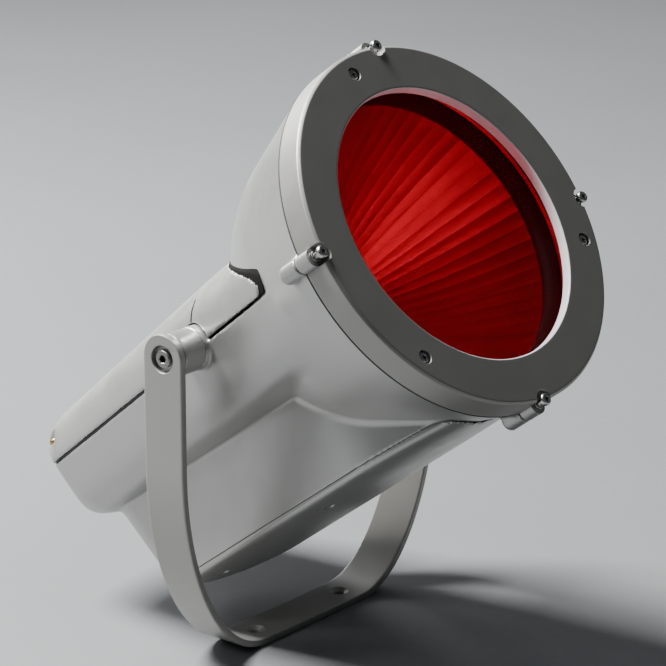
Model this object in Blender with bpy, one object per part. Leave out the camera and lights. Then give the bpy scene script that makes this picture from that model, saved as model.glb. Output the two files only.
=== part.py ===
"""Outdoor architectural spotlight on a U-shaped yoke, with a red colour filter.

World frame: +Z up, the pivots along X, the head facing -Y. The origin is the
centre of the yoke's underside. Head pieces are drawn in the head's own frame,
whose origin is the middle of the pivot axis: (x, u, v) with u forward along
the beam and v up across it. Sizes here are in millimetres, objects in metres.
"""

import math

import bmesh
import bpy
from mathutils import Matrix, Vector

for old in list(bpy.data.objects):
    bpy.data.objects.remove(old, do_unlink=True)

MM = 0.001

# ---- driving dimensions, millimetres and degrees -------------------------
TILT = 37.0          # beam above the horizontal at rest
PIVOT_Z = 311.0      # pivot axis above the yoke's underside

YOKE_X = 189.0       # outer face of an arm
YOKE_T = 7.0         # strap thickness
YOKE_W = 46.0        # strap width
YOKE_FLAT = 72.0     # half length of the flat base
YOKE_RISE = 206.0    # height of the curved part of an arm
BASE_HOLE_X = 63.0
BASE_HOLE_R = 6.5

AXIS_V = -16.0       # beam axis below the pivot axis
FACE_U = 225.0       # front face of the bezel
BEZEL_R = 180.0
APERTURE_R = 135.5
BEZEL_BACK = 197.3
LIP_U = 215.0        # back of the bezel's lip
WALL_IN = 168.0      # inner radius of the bezel's side wall
FACE_SCREW_R = 162.0
FACE_SCREWS = (100.0, 220.0, 340.0)
CLAMP_R = 180.0
CLAMPS = (("left", 175.5), ("top", 84.5), ("right", 354.5), ("bottom", 267.5))
LUG_R = 9.0          # clamp lugs and the bosses in line with them
BOSS_R = 20.5        # pivot bosses and spacers

BELL_FRONT = 194.5
BELL_BACK = 2.0
BELL_T = 4.0

POD_REAR = -292.0
POD_BOTTOM = -81.0
POD_T = 5.0
POD_CORNER = 26.0    # rounding of the rear corners seen from above
COVER_T = 3.2
SEAM_GAP = 1.2
COVER_SCREW_X = 101.0
COVER_SCREW_U = -272.0

KEEL_REAR = -259.0
KEEL_SLOPE = 0.31
KEEL_TOP_W = 92.0
KEEL_LOW_W = 100.0
KEEL_SPLIT = -168.0
KEEL_BOTTOM = -186.0
KEEL_T = 4.0

GAP = 0.3            # between pieces that touch


# ---- shape rules ---------------------------------------------------------
def bell_r(u):
    """Outer radius of the bell: a shallow cone that closes into a dome."""
    return 154.4 + 0.293 * (u - 110.0) - 0.0036 * max(0.0, 110.0 - u) ** 2


def pod_half(u):
    return 144.0 + 0.118 * min(u, 122.0)


def seam_v(u):
    return -1.5 + 0.024 * u


def crown_v(u):
    return 67.0 + (0.08 if u < 0.0 else 0.036) * u


def rounding(w, radius):
    """How far a rounded edge of this radius has drawn in, w from its end."""
    if w >= radius:
        return 0.0
    return radius - math.sqrt(max(0.0, radius ** 2 - (radius - w) ** 2))


def power(value, exponent):
    return math.copysign(abs(value) ** exponent, value)


def keel_half(u, v):
    k = KEEL_TOP_W + (KEEL_LOW_W - KEEL_TOP_W) * min(1.0, max(0.0, (-80.0 - v) / 88.0))
    if u > 60.0:
        k -= 0.0022 * (u - 60.0) ** 2
    return k


# ---- building helpers ----------------------------------------------------
MATERIALS = {
    "housing_paint": ((0.46, 0.46, 0.44), 0.42, 0.35),
    "bezel_paint": ((0.20, 0.20, 0.19), 0.45, 0.30),
    "yoke_paint": ((0.34, 0.33, 0.31), 0.48, 0.35),
    "stainless": ((0.62, 0.61, 0.59), 0.28, 1.0),
    "zinc_yellow": ((0.45, 0.27, 0.12), 0.35, 1.0),
    "gasket": ((0.02, 0.02, 0.02), 0.75, 0.0),
    "clear_glass": ((0.85, 0.88, 0.88), 0.03, 0.0),
    "red_glass": ((0.55, 0.01, 0.01), 0.05, 0.0),
    "reflector": ((0.80, 0.80, 0.80), 0.12, 1.0),
    "lamp_glass": ((0.90, 0.90, 0.88), 0.05, 0.0),
    "brass": ((0.60, 0.45, 0.20), 0.30, 1.0),
    "ceramic": ((0.85, 0.84, 0.80), 0.35, 0.0),
    "steel": ((0.50, 0.50, 0.50), 0.35, 1.0),
    "aluminium": ((0.65, 0.65, 0.65), 0.35, 1.0),
    "black_plastic": ((0.03, 0.03, 0.03), 0.45, 0.0),
    "white_plastic": ((0.75, 0.75, 0.72), 0.45, 0.0),
    "friction": ((0.10, 0.09, 0.08), 0.80, 0.0),
}


def material(kind, node):
    colour, rough, metal = MATERIALS[kind]
    m = bpy.data.materials.new(node + "_" + kind)
    m.use_nodes = True
    shader = m.node_tree.nodes["Principled BSDF"]
    shader.inputs["Base Color"].default_value = (*colour, 1.0)
    shader.inputs["Roughness"].default_value = rough
    shader.inputs["Metallic"].default_value = metal
    m.diffuse_color = (*colour, 1.0)
    return m


head = bpy.data.objects.new("head_frame", None)
bpy.context.scene.collection.objects.link(head)
head.location = (0.0, 0.0, PIVOT_Z * MM)
head.rotation_euler = (math.radians(-TILT), 0.0, 0.0)


def hp(x, u, v):
    """A point of the head's (x, u, v) in the head object's axes."""
    return Vector((x, -u, v))


def new_object(name, bm):
    bmesh.ops.recalc_face_normals(bm, faces=bm.faces)
    bmesh.ops.scale(bm, vec=(MM, MM, MM), verts=bm.verts)
    mesh = bpy.data.meshes.new(name)
    bm.to_mesh(mesh)
    bm.free()
    obj = bpy.data.objects.new(name, mesh)
    bpy.context.scene.collection.objects.link(obj)
    return obj


def loft(name, rings):
    """A closed solid through rings of equal point counts, with flat ends."""
    bm = bmesh.new()
    loops = [[bm.verts.new(p) for p in ring] for ring in rings]
    for a, b in zip(loops, loops[1:]):
        for i in range(len(a)):
            j = (i + 1) % len(a)
            bm.faces.new((a[i], a[j], b[j], b[i]))
    bm.faces.new(loops[0])
    bm.faces.new(loops[-1])
    return new_object(name, bm)


def turned(name, profile, centre, axis, segments=48, phase=0.0):
    """A closed solid: the (radius, along) profile turned about an axis."""
    axis = Vector(axis).normalized()
    side = Vector((1.0, 0.0, 0.0)) if abs(axis.x) < 0.5 else Vector((0.0, 1.0, 0.0))
    side = (side - axis * side.dot(axis)).normalized()
    other = axis.cross(side)
    centre = Vector(centre)
    solid = profile[0][0] == 0.0
    bm = bmesh.new()
    loops = []
    for r, along in profile:
        if r == 0.0:
            continue
        loop = []
        for i in range(segments):
            a = phase + 2.0 * math.pi * i / segments
            loop.append(bm.verts.new(centre + axis * along + side * (r * math.cos(a)) + other * (r * math.sin(a))))
        loops.append(loop)
    pairs = list(zip(loops, loops[1:])) + ([] if solid else [(loops[-1], loops[0])])
    for low, high in pairs:
        for i in range(segments):
            j = (i + 1) % segments
            bm.faces.new((low[i], low[j], high[j], high[i]))
    if solid:
        for (r, along), (_, near), loop in ((profile[0], profile[1], loops[0]), (profile[-1], profile[-2], loops[-1])):
            if along == near:
                bm.faces.new(loop)
                continue
            tip = bm.verts.new(centre + axis * along)
            for i in range(segments):
                bm.faces.new((loop[i], loop[(i + 1) % segments], tip))
    return new_object(name, bm)


def rod(name, start, end, radius, segments=24, phase=0.0):
    start, end = Vector(start), Vector(end)
    length = (end - start).length
    return turned(name, [(0.0, 0.0), (radius, 0.0), (radius, length), (0.0, length)], start, end - start, segments, phase)


def drill(start, end, radius, segments=24):
    return rod("drill", start, end, radius, segments, 0.137)


def prism(name, outline, x0, x1):
    """An outline of (u, v) points carried from x0 to x1."""
    bm = bmesh.new()
    ends = [[bm.verts.new(hp(x, u, v)) for u, v in outline] for x in (x0, x1)]
    for i in range(len(outline)):
        j = (i + 1) % len(outline)
        bm.faces.new((ends[0][i], ends[0][j], ends[1][j], ends[1][i]))
    bm.faces.new(ends[0])
    bm.faces.new(ends[1])
    return new_object(name, bm)


def block(name, low, high):
    bm = bmesh.new()
    bmesh.ops.create_cube(bm, size=1.0)
    low, high = Vector(low), Vector(high)
    for vert in bm.verts:
        vert.co = Vector([low[i] + (vert.co[i] + 0.5) * (high[i] - low[i]) for i in range(3)])
    return new_object(name, bm)


def boolean(obj, other, operation):
    mod = obj.modifiers.new("b", "BOOLEAN")
    mod.operation = operation
    mod.solver = "EXACT"
    mod.object = other
    bpy.context.view_layer.update()
    done = bpy.data.meshes.new_from_object(obj.evaluated_get(bpy.context.evaluated_depsgraph_get()))
    obj.modifiers.remove(mod)
    bm = bmesh.new()
    bm.from_mesh(done)
    bmesh.ops.remove_doubles(bm, verts=bm.verts, dist=2e-6)
    bmesh.ops.dissolve_degenerate(bm, edges=bm.edges, dist=2e-6)
    bm.to_mesh(done)
    bm.free()
    obj.data = done
    bpy.data.objects.remove(other, do_unlink=True)
    return obj


def cut(obj, *others):
    for other in others:
        boolean(obj, other, "DIFFERENCE")
    return obj


def fuse(obj, *others):
    for other in others:
        boolean(obj, other, "UNION")
    return obj


def keep(obj, other):
    return boolean(obj, other, "INTERSECT")


def finish(obj, kind, parent=head, origin=None, smooth=30.0):
    """Names the material, sets the origin and hangs the piece on its parent."""
    if origin is not None:
        origin = Vector(origin) * MM
        obj.data.transform(Matrix.Translation(-origin))
        obj.location = origin
    obj.parent = parent
    obj.data.materials.clear()
    obj.data.materials.append(material(kind, obj.name))
    for polygon in obj.data.polygons:
        polygon.material_index = 0
    if smooth:
        obj.data.shade_smooth()
        obj.data.set_sharp_from_angle(angle=math.radians(smooth))
    return obj


def axis_rod(name, x, v, u0, u1, radius, segments=24, phase=0.0):
    return rod(name, hp(x, u0, v), hp(x, u1, v), radius, segments, phase)


def ring_point(radius, degrees, u):
    a = math.radians(degrees)
    return (radius * math.cos(a), u, AXIS_V + radius * math.sin(a))


def beam_turned(name, profile, segments=48):
    """Turned about the beam axis from (radius, u) points."""
    return turned(name, profile, hp(0.0, 0.0, AXIS_V), (0.0, -1.0, 0.0), segments)


# ---- yoke ----------------------------------------------------------------
def yoke_path():
    """(x, z, normal x, normal z, half width) of the strap's outer face."""
    span = YOKE_X - YOKE_FLAT
    half = []
    for degrees in (86.0, 74.0, 61.0, 48.0, 35.0, 22.0, 9.0):
        a = math.radians(degrees)
        half.append((YOKE_X, PIVOT_Z + YOKE_W / 2 * math.sin(a), 1.0, 0.0, YOKE_W / 2 * math.cos(a)))
    half.append((YOKE_X, PIVOT_Z - 9.0, 1.0, 0.0, YOKE_W / 2))
    half.append((YOKE_X, YOKE_RISE, 1.0, 0.0, YOKE_W / 2))
    steps = 14
    for i in range(1, steps + 1):
        a = math.pi / 2 * i / steps
        nx, nz = math.cos(a) / span, -math.sin(a) / YOKE_RISE
        size = math.hypot(nx, nz)
        half.append((YOKE_FLAT + span * math.cos(a), YOKE_RISE - YOKE_RISE * math.sin(a), nx / size, nz / size, YOKE_W / 2))
    return [(-x, z, -nx, nz, w) for x, z, nx, nz, w in half] + list(reversed(half))


rings = []
for x, z, nx, nz, w in yoke_path():
    rings.append([(x - nx * depth, y, z - nz * depth) for depth, y in ((0.0, -w), (0.0, w), (YOKE_T, w), (YOKE_T, -w))])
yoke = loft("yoke", rings)
for side in (-1, 1):
    inner, outer = side * (YOKE_X - YOKE_T), side * YOKE_X
    cut(yoke, drill((inner - side * 5, 0.0, PIVOT_Z), (outer + side * 5, 0.0, PIVOT_Z), 5.35, 24))
    cut(yoke, rod("recess", (outer - side * 4.6, 0.0, PIVOT_Z), (outer + side * 5, 0.0, PIVOT_Z), 13.0, 36, 0.05))
    sink = turned(
        "sink", [(0.0, -4.0), (YOKE_T / 2 + 2.1, -4.0), (YOKE_T / 2 + 2.1, 3.4), (YOKE_T / 2 + 6.5, 9.0), (0.0, 9.0)],
        (side * BASE_HOLE_X, 0.0, 0.0), (0.0, 0.0, 1.0), 28, 0.07,
    )
    cut(yoke, sink)
finish(yoke, "yoke_paint", parent=None)

PIVOT = (0.0, 0.0, PIVOT_Z)
SIDES = (("left", -1), ("right", 1))
for tag, side in SIDES:
    bolt = turned(
        "pivot_bolt_" + tag,
        [(0.0, 188.6), (7.7, 188.6), (8.5, 187.8), (8.5, 184.9), (5.0, 184.9), (5.0, 112.0), (4.3, 111.0), (0.0, 111.0)],
        PIVOT, (side, 0.0, 0.0), 20,
    )
    cut(bolt, rod("socket", (side * 184.2, 0.0, PIVOT_Z), (side * 195.0, 0.0, PIVOT_Z), 4.6, 6, 0.1))
    finish(bolt, "stainless", parent=None, origin=PIVOT)
    washer = turned("friction_washer_" + tag, [(5.5, 179.0), (BOSS_R - 1.0, 179.0), (BOSS_R - 1.0, 181.7), (5.5, 181.7)], PIVOT, (side, 0.0, 0.0), 28)
    finish(washer, "friction", parent=None)

# ---- main casting --------------------------------------------------------
POD_STATIONS = [0.0, 1.2, 4.0, 8.0, 14.0, 22.0, 31.0, 44.0, 80.0, 140.0, 200.0, 262.0, 320.0, 372.0, 412.0, 440.0]


def pod_low_ring(u, inset=0.0, top=0.0, steps=18):
    """Lower half of the pod's section: upright sides that turn under."""
    w = u - (POD_REAR + inset)
    a = pod_half(u) - inset - rounding(w, POD_CORNER - inset)
    depth = seam_v(u) - POD_BOTTOM - inset - rounding(w, 46.0 - inset)
    ring = []
    for i in range(steps + 1):
        angle = math.pi + math.pi * i / steps
        ring.append(hp(a * power(math.cos(angle), 1 / 3), u, seam_v(u) + depth * power(math.sin(angle), 1 / 3)))
    ring[0] = hp(-a, u, seam_v(u) + top)
    ring[-1] = hp(a, u, seam_v(u) + top)
    return ring


def pod_high_ring(u, inset=0.0, bottom=SEAM_GAP, steps=20):
    """Upper half of the pod's section: the crowned cover."""
    w = u - (POD_REAR + inset)
    a = pod_half(u) - inset - rounding(w, POD_CORNER - inset)
    rise = crown_v(u) - seam_v(u) - inset - rounding(w, 12.0 - inset * 0.9)
    ring = []
    for i in range(steps + 1):
        angle = math.pi * i / steps
        x = a * power(math.cos(angle), 1 / 1.1)
        v = seam_v(u) + rise * power(math.sin(angle), 1 / 1.1)
        ring.append(hp(x, u, max(v, seam_v(u) + bottom)))
    ring[0] = hp(a, u, seam_v(u) + bottom)
    ring[-1] = hp(-a, u, seam_v(u) + bottom)
    return ring


def keel_ring(w, inset=0.0, top=-62.0, steps=3):
    """A section of the keel, w forward of its leaning rear face."""
    half = []
    round_x = rounding(w - inset, 30.0 - inset)
    lift = rounding(w - inset, 36.0 - inset)
    crease = KEEL_SPLIT + inset * 0.2 + lift * 0.75
    floor_v = KEEL_BOTTOM + inset + lift
    lean_share = 1.0 - min(1.0, max(0.0, w / 420.0))
    u_mid = KEEL_REAR + 20.0 + w
    for i in range(steps):
        v = top + (crease - top) * i / (steps - 1)
        half.append((keel_half(u_mid, v) - inset - round_x, v))
    last = half[-1][0]
    for i in range(1, 7):
        a = math.pi / 2 * i / 6
        half.append((last * math.cos(a), crease - 3.0 - (crease - 3.0 - floor_v) * math.sin(a) ** 0.9))
    half[-1] = (0.0, floor_v)

    def at(x, v):
        return hp(x, KEEL_REAR + w + (1.0 - lean_share) * 8.0 + lean_share * KEEL_SLOPE * (-85.0 - v), v)

    return [at(x, v) for x, v in half] + [at(-x, v) for x, v in reversed(half[:-1])]


KEEL_STATIONS = [0.0, 1.2, 4.0, 9.0, 16.0, 25.0, 36.0, 80.0, 150.0, 220.0, 290.0, 330.0, 360.0, 385.0, 405.0, 418.0]
BELL_STATIONS = (14.0, 28.0, 44.0, 60.0, 78.0, 96.0, 114.0, 140.0, 168.0)

housing = beam_turned(
    "housing",
    [(0.0, BELL_BACK), (bell_r(BELL_BACK), BELL_BACK)] + [(bell_r(u), u) for u in BELL_STATIONS]
    + [(bell_r(BELL_FRONT), BELL_FRONT), (0.0, BELL_FRONT)],
)
pod = loft("pod", [pod_low_ring(POD_REAR + w, top=-SEAM_GAP) for w in POD_STATIONS])
keel = loft("keel", [keel_ring(w) for w in KEEL_STATIONS])
cut(keel, block("below", (-200.0, -400.0, -260.0), (200.0, 400.0, KEEL_SPLIT + 0.6)))
fuse(pod, keel)
fuse(housing, pod)
for tag, side in SIDES:
    fuse(housing, rod("boss", (side * 136.3, 0.0, 0.0), (side * 151.0, 0.0, 0.0), BOSS_R, 28, 0.03))

for tag, degrees in CLAMPS:
    x, u, v = ring_point(CLAMP_R, degrees, 0.0)
    web = block("web", (-14.0, -190.5, -5.2), (2.0, -176.0, 5.2))
    web.data.transform(Matrix.Rotation(math.radians(-degrees), 4, "Y"))
    web.data.transform(Matrix.Translation(Vector((x, 0.0, v)) * MM))
    barrel = turned(
        "barrel", [(0.0, 172.0), (LUG_R - 3.4, 172.6), (LUG_R - 0.8, 174.8), (LUG_R, 177.5), (LUG_R, 196.6), (0.0, 196.6)],
        hp(x, 0.0, v), (0.0, -1.0, 0.0), 18, 0.11,
    )
    fuse(housing, web, barrel)

# hollow: bell, trough and keel
cut(housing, beam_turned(
    "bell_in",
    [(0.0, BELL_BACK + 5.0), (bell_r(BELL_BACK + 5.0) - BELL_T - 3.0, BELL_BACK + 5.0)]
    + [(bell_r(u) - BELL_T, u) for u in (18.0, 30.0, 46.0, 62.0, 80.0, 98.0, 116.0, 142.0, 170.0, 180.0)]
    + [(166.0, 181.0), (166.0, 205.0), (0.0, 205.0)],
))
cut(housing, loft("pod_in", [pod_low_ring(POD_REAR + POD_T + w, inset=POD_T, top=9.0) for w in POD_STATIONS[:13] + [360.0, 382.0]]))
cut(housing, loft("keel_in", [keel_ring(KEEL_T + w, inset=KEEL_T, top=-82.0) for w in KEEL_STATIONS[:12] + [352.0, 366.0]]))

for tag, side in SIDES:
    fuse(housing, rod("boss", (side * 126.0, 0.0, 0.0), (side * 145.0, 0.0, 0.0), 17.0, 20, 0.09))
    cut(housing, drill((side * 100.0, 0.0, 0.0), (side * 160.0, 0.0, 0.0), 5.35, 24))
    # columns for the cover's screws
    column = rod("column", hp(side * COVER_SCREW_X, COVER_SCREW_U, -72.0), hp(side * COVER_SCREW_X, COVER_SCREW_U, seam_v(COVER_SCREW_U) - 1.9), 9.0, 16, 0.05)
    keep(column, loft("clip", [pod_low_ring(POD_REAR + w, inset=0.6, top=20.0) for w in (0.6, 2.0, 5.0, 9.0, 15.0, 23.0, 32.0, 42.0, 80.0)]))
    fuse(housing, column)
    cut(housing, drill(hp(side * COVER_SCREW_X, COVER_SCREW_U, -34.0), hp(side * COVER_SCREW_X, COVER_SCREW_U, 20.0), 2.9, 10))
    for u in (-178.0, -14.0):
        fuse(housing, rod("column", hp(side * 70.0, u, -79.0), hp(side * 70.0, u, KEEL_SPLIT + 0.9), 7.5, 12, 0.05))
        cut(housing, drill(hp(side * 70.0, u, -135.0), hp(side * 70.0, u, -180.0), 2.6, 10))
for tag, degrees in CLAMPS:
    x, u, v = ring_point(CLAMP_R, degrees, 0.0)
    cut(housing, drill(hp(x, 182.0, v), hp(x, 220.0, v), 3.4, 10))

# cable entry and breather in the keel's leaning rear wall, wire hole in the floor
REAR_V = -122.0
lean = math.atan(KEEL_SLOPE)
rear_out = Vector((0.0, math.cos(lean), -math.sin(lean)))


def rear_point(x):
    return hp(x, KEEL_REAR + KEEL_SLOPE * (-85.0 - REAR_V), REAR_V)


cut(housing, drill(rear_point(-24.0) - rear_out * 20.0, rear_point(-24.0) + rear_out * 20.0, 10.3, 28))
cut(housing, drill(rear_point(26.0) - rear_out * 20.0, rear_point(26.0) + rear_out * 20.0, 4.4, 20))
cut(housing, drill(hp(0.0, -70.0, -100.0), hp(0.0, -70.0, -50.0), 12.0, 24))
finish(housing, "housing_paint")

gland = turned(
    "cable_gland", [(5.5, -9.0), (9.9, -9.0), (9.9, 0.8), (14.5, 0.8), (14.5, 6.0), (12.6, 6.4), (12.6, 14.0), (10.5, 19.0), (8.0, 21.0), (5.5, 21.0)],
    rear_point(-24.0), rear_out, 18,
)
finish(gland, "black_plastic")
plug = turned("breather_plug", [(0.0, -8.0), (4.0, -8.0), (4.0, 0.5), (7.5, 0.5), (7.5, 3.2), (5.5, 5.0), (0.0, 5.6)], rear_point(26.0), rear_out, 14)
finish(plug, "black_plastic")

# ---- pivot spacers and nuts ----------------------------------------------
for tag, side in SIDES:
    spacer = turned(
        "pivot_spacer_" + tag,
        [(5.4, 151.3), (BOSS_R, 151.3), (BOSS_R, 175.5), (BOSS_R - 1.5, 178.7), (5.4, 178.7)],
        (0.0, 0.0, 0.0), (side, 0.0, 0.0), 28,
    )
    finish(spacer, "housing_paint")
    nut = rod("pivot_nut_" + tag, (side * 117.6, 0.0, 0.0), (side * 125.6, 0.0, 0.0), 9.8, 6)
    cut(nut, drill((side * 110.0, 0.0, 0.0), (side * 130.0, 0.0, 0.0), 5.4, 16))
    finish(nut, "steel", smooth=0.0)

# ---- cover over the trough -----------------------------------------------
top_cover = loft("top_cover", [pod_high_ring(POD_REAR + w) for w in POD_STATIONS])
cut(top_cover, loft("inner", [pod_high_ring(POD_REAR + COVER_T + w, inset=COVER_T, bottom=-10.0) for w in POD_STATIONS]))
cut(top_cover, beam_turned(
    "bell_gap",
    [(0.0, -4.0), (bell_r(-4.0) + 1.9, -4.0)] + [(bell_r(u) + 1.9, u) for u in BELL_STATIONS] + [(bell_r(190.0), 190.0), (0.0, 190.0)],
))
corner = [(114.0 + 7.0 * math.cos(math.radians(a)), 9.0 + 7.0 * math.sin(math.radians(a))) for a in range(-90, 1, 15)]
cut(top_cover, prism("corner", corner + [(150.0, 9.0), (150.0, -20.0), (114.0, -20.0)], -220.0, 220.0))
groove = loft("groove", [pod_high_ring(u, inset=-6.0, bottom=-6.0) for u in (2.2, 7.4)])
cut(groove, loft("groove_in", [pod_high_ring(u, inset=1.5, bottom=-16.0) for u in (-6.0, 16.0)]))
cut(top_cover, groove)
for tag, side in SIDES:
    cut(top_cover, rod("notch", (side * 90.0, 0.0, 0.0), (side * 170.0, 0.0, 0.0), BOSS_R + 1.6, 32, 0.04))
    column = rod("column", hp(side * COVER_SCREW_X, COVER_SCREW_U, seam_v(COVER_SCREW_U) + 1.8), hp(side * COVER_SCREW_X, COVER_SCREW_U, 34.0), 11.0, 16, 0.05)
    keep(column, loft("clip", [pod_high_ring(POD_REAR + w, inset=0.4, bottom=-9.0) for w in (0.4, 1.8, 5.0, 9.0, 15.0, 23.0, 32.0, 42.0, 80.0)]))
    fuse(top_cover, column)
    cut(top_cover, rod("scallop", hp(side * 104.0, -275.0, 10.0), hp(side * 104.0, -275.0, 60.0), 10.0, 20, 0.02))
    cut(top_cover, drill(hp(side * COVER_SCREW_X, COVER_SCREW_U, -20.0), hp(side * COVER_SCREW_X, COVER_SCREW_U, 20.0), 2.9, 10))
finish(top_cover, "housing_paint")

rings = []
for mirror in (-1, 1):
    stations = list(reversed(POD_STATIONS[:11] + [264.0])) if mirror < 0 else POD_STATIONS[:11] + [264.0]
    for w in stations:
        ring = []
        for inset, rise in ((1.3, -0.9), (1.3, 0.9), (3.7, 0.9), (3.7, -0.9)):
            u = POD_REAR + inset + w
            ring.append(hp(mirror * (pod_half(u) - inset - rounding(w, POD_CORNER - inset)), u, seam_v(u) + rise))
        rings.append(ring)
finish(loft("cover_gasket", rings), "gasket")

for tag, side in SIDES:
    screw = turned(
        "cover_screw_" + tag,
        [(0.0, -30.0), (2.6, -30.0), (2.6, 10.3), (5.0, 10.3), (5.0, 13.6), (4.2, 14.6), (0.0, 14.6)],
        hp(side * COVER_SCREW_X, COVER_SCREW_U, 0.0), (0.0, 0.0, 1.0), 14,
    )
    slot = hp(side * COVER_SCREW_X, COVER_SCREW_U, 13.2)
    cut(screw, block("slot", slot - Vector((6.0, 0.7, 0.0)), slot + Vector((6.0, 0.7, 3.0))))
    finish(screw, "zinc_yellow", origin=hp(side * COVER_SCREW_X, COVER_SCREW_U, 0.0))

# ---- bottom cover of the keel --------------------------------------------
bottom_cover = loft("bottom_cover", [keel_ring(w) for w in KEEL_STATIONS])
cut(bottom_cover, loft("inner", [keel_ring(3.4 + w, inset=3.4, top=-60.0) for w in KEEL_STATIONS[:13] + [376.0]]))
cut(bottom_cover, block("above", (-200.0, -400.0, KEEL_SPLIT - 0.6), (200.0, 400.0, 100.0)))
cut(bottom_cover, beam_turned(
    "bell_gap", [(0.0, 20.0), (bell_r(20.0) + 0.8, 20.0)] + [(bell_r(u) + 0.8, u) for u in BELL_STATIONS[2:]] + [(bell_r(190.0), 190.0), (0.0, 190.0)],
))
for tag, side in SIDES:
    for end, u in (("rear", -178.0), ("front", -14.0)):
        pad = rod("pad", hp(side * 70.0, u, -190.0), hp(side * 70.0, u, KEEL_SPLIT - 0.9), 8.5, 12, 0.05)
        keep(pad, loft("clip", [keel_ring(w, inset=0.4) for w in KEEL_STATIONS[1:]]))
        fuse(bottom_cover, pad)
        cut(bottom_cover, drill(hp(side * 70.0, u, -195.0), hp(side * 70.0, u, -150.0), 2.6, 10))
        cut(bottom_cover, rod("sink", hp(side * 70.0, u, -195.0), hp(side * 70.0, u, -177.0), 4.9, 14, 0.03))
        screw = turned(
            "bottom_screw_" + end + "_" + tag,
            [(0.0, -181.2), (3.6, -181.2), (4.5, -180.2), (4.5, -177.4), (2.3, -177.4), (2.3, -142.0), (0.0, -142.0)],
            hp(side * 70.0, u, 0.0), (0.0, 0.0, 1.0), 12,
        )
        cut(screw, rod("hex", hp(side * 70.0, u, -184.0), hp(side * 70.0, u, -179.0), 2.0, 6, 0.1))
        finish(screw, "stainless")
finish(bottom_cover, "housing_paint")

# ---- bezel ---------------------------------------------------------------
bezel = beam_turned("bezel_ring", [
    (BEZEL_R, BEZEL_BACK), (BEZEL_R, FACE_U - 1.5), (BEZEL_R - 1.5, FACE_U), (APERTURE_R + 1.0, FACE_U),
    (APERTURE_R, FACE_U - 1.0), (APERTURE_R, LIP_U), (WALL_IN, LIP_U), (WALL_IN, BEZEL_BACK),
], 64)
for tag, degrees in CLAMPS:
    x, u, v = ring_point(CLAMP_R, degrees, 0.0)
    fuse(bezel, axis_rod("boss", x, v, 197.9, 214.6, LUG_R, 18, 0.11))
    cut(bezel, axis_rod("notch", x, v, 214.0, 240.0, LUG_R + 0.5, 20, 0.06))
    cut(bezel, drill(hp(x, 190.0, v), hp(x, 220.0, v), 3.4, 10))
for degrees in FACE_SCREWS:
    x, u, v = ring_point(FACE_SCREW_R, degrees, 0.0)
    cut(bezel, axis_rod("sink", x, v, 220.0, 240.0, 7.0, 18, 0.06))
    cut(bezel, drill(hp(x, 190.0, v), hp(x, 230.0, v), 2.9, 10))
finish(bezel, "bezel_paint", origin=hp(0.0, 0.0, AXIS_V))

glass = beam_turned("front_glass", [(0.0, 207.4), (155.2, 207.4), (156.0, 208.2), (156.0, 211.6), (155.2, 212.4), (0.0, 212.4)], 48)
finish(glass, "clear_glass")
finish(beam_turned("red_filter", [(0.0, 203.5), (155.4, 203.5), (155.4, 207.1), (0.0, 207.1)], 48), "red_glass")
finish(beam_turned("front_gasket", [(138.0, 212.7), (155.8, 212.7), (155.8, 214.7), (138.0, 214.7)], 40), "gasket")
retainer = beam_turned("retaining_ring", [(149.0, 199.0), (167.0, 199.0), (167.0, 203.2), (149.0, 203.2)], 48)
for degrees in FACE_SCREWS:
    x, u, v = ring_point(FACE_SCREW_R, degrees, 0.0)
    cut(retainer, drill(hp(x, 190.0, v), hp(x, 230.0, v), 2.9, 10))
finish(retainer, "aluminium")
finish(beam_turned("rim_gasket", [(166.8, 194.8), (170.1, 194.8), (170.1, 197.0), (166.8, 197.0)], 48), "gasket")

for number, degrees in enumerate(FACE_SCREWS, 1):
    x, u, v = ring_point(FACE_SCREW_R, degrees, 0.0)
    screw = turned(
        "face_screw_%d" % number,
        [(0.0, 199.4), (2.6, 199.4), (2.6, 220.3), (5.4, 220.3), (5.4, 222.6), (4.4, 223.8), (0.0, 223.8)],
        hp(x, 0.0, v), (0.0, -1.0, 0.0), 14,
    )
    cut(screw, axis_rod("hex", x, v, 221.6, 228.0, 2.3, 6, 0.1))
    finish(screw, "stainless")
for tag, degrees in CLAMPS:
    x, u, v = ring_point(CLAMP_R, degrees, 0.0)
    screw = turned(
        "clamp_screw_" + tag,
        [(0.0, 183.5), (3.0, 183.5), (3.0, 214.6), (5.0, 214.6), (5.0, 216.4), (3.2, 216.4), (3.2, 222.0),
         (5.3, 222.6), (5.7, 223.6), (5.7, 226.2), (4.6, 227.4), (0.0, 227.4)],
        hp(x, 0.0, v), (0.0, -1.0, 0.0), 16,
    )
    cut(screw, axis_rod("hex", x, v, 225.0, 232.0, 2.5, 6, 0.1))
    finish(screw, "stainless", origin=hp(x, 0.0, v))

# ---- optics --------------------------------------------------------------
def dish_r(u):
    return math.sqrt(121.0 * (u - 20.0))


DISH = (24.0, 29.0, 38.0, 54.0, 78.0, 110.0, 146.0, 182.0)
finish(beam_turned(
    "reflector",
    [(dish_r(u), u) for u in DISH] + [(152.0, 194.4), (165.6, 194.4), (165.6, 192.8), (152.8, 192.8)]
    + [(dish_r(u) + 1.7, u - 0.6) for u in reversed(DISH)], 40,
), "reflector")
finish(beam_turned("lamp", [
    (0.0, -31.0), (9.0, -31.0), (19.5, -26.0), (19.5, 12.0), (14.0, 16.0), (14.0, 24.0), (16.0, 32.0),
    (17.0, 42.0), (17.0, 84.0), (15.0, 94.0), (8.0, 101.0), (0.0, 103.0),
], 20), "lamp_glass")
finish(beam_turned("lampholder", [
    (0.0, -44.0), (24.0, -44.0), (26.0, -42.0), (26.0, -6.0), (24.0, -4.0), (20.2, -4.0), (20.2, -32.5), (0.0, -32.5),
], 24), "ceramic")
bracket = block("lamp_bracket", hp(-28.0, -44.6, -72.9), hp(28.0, -47.1, -24.0))
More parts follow.
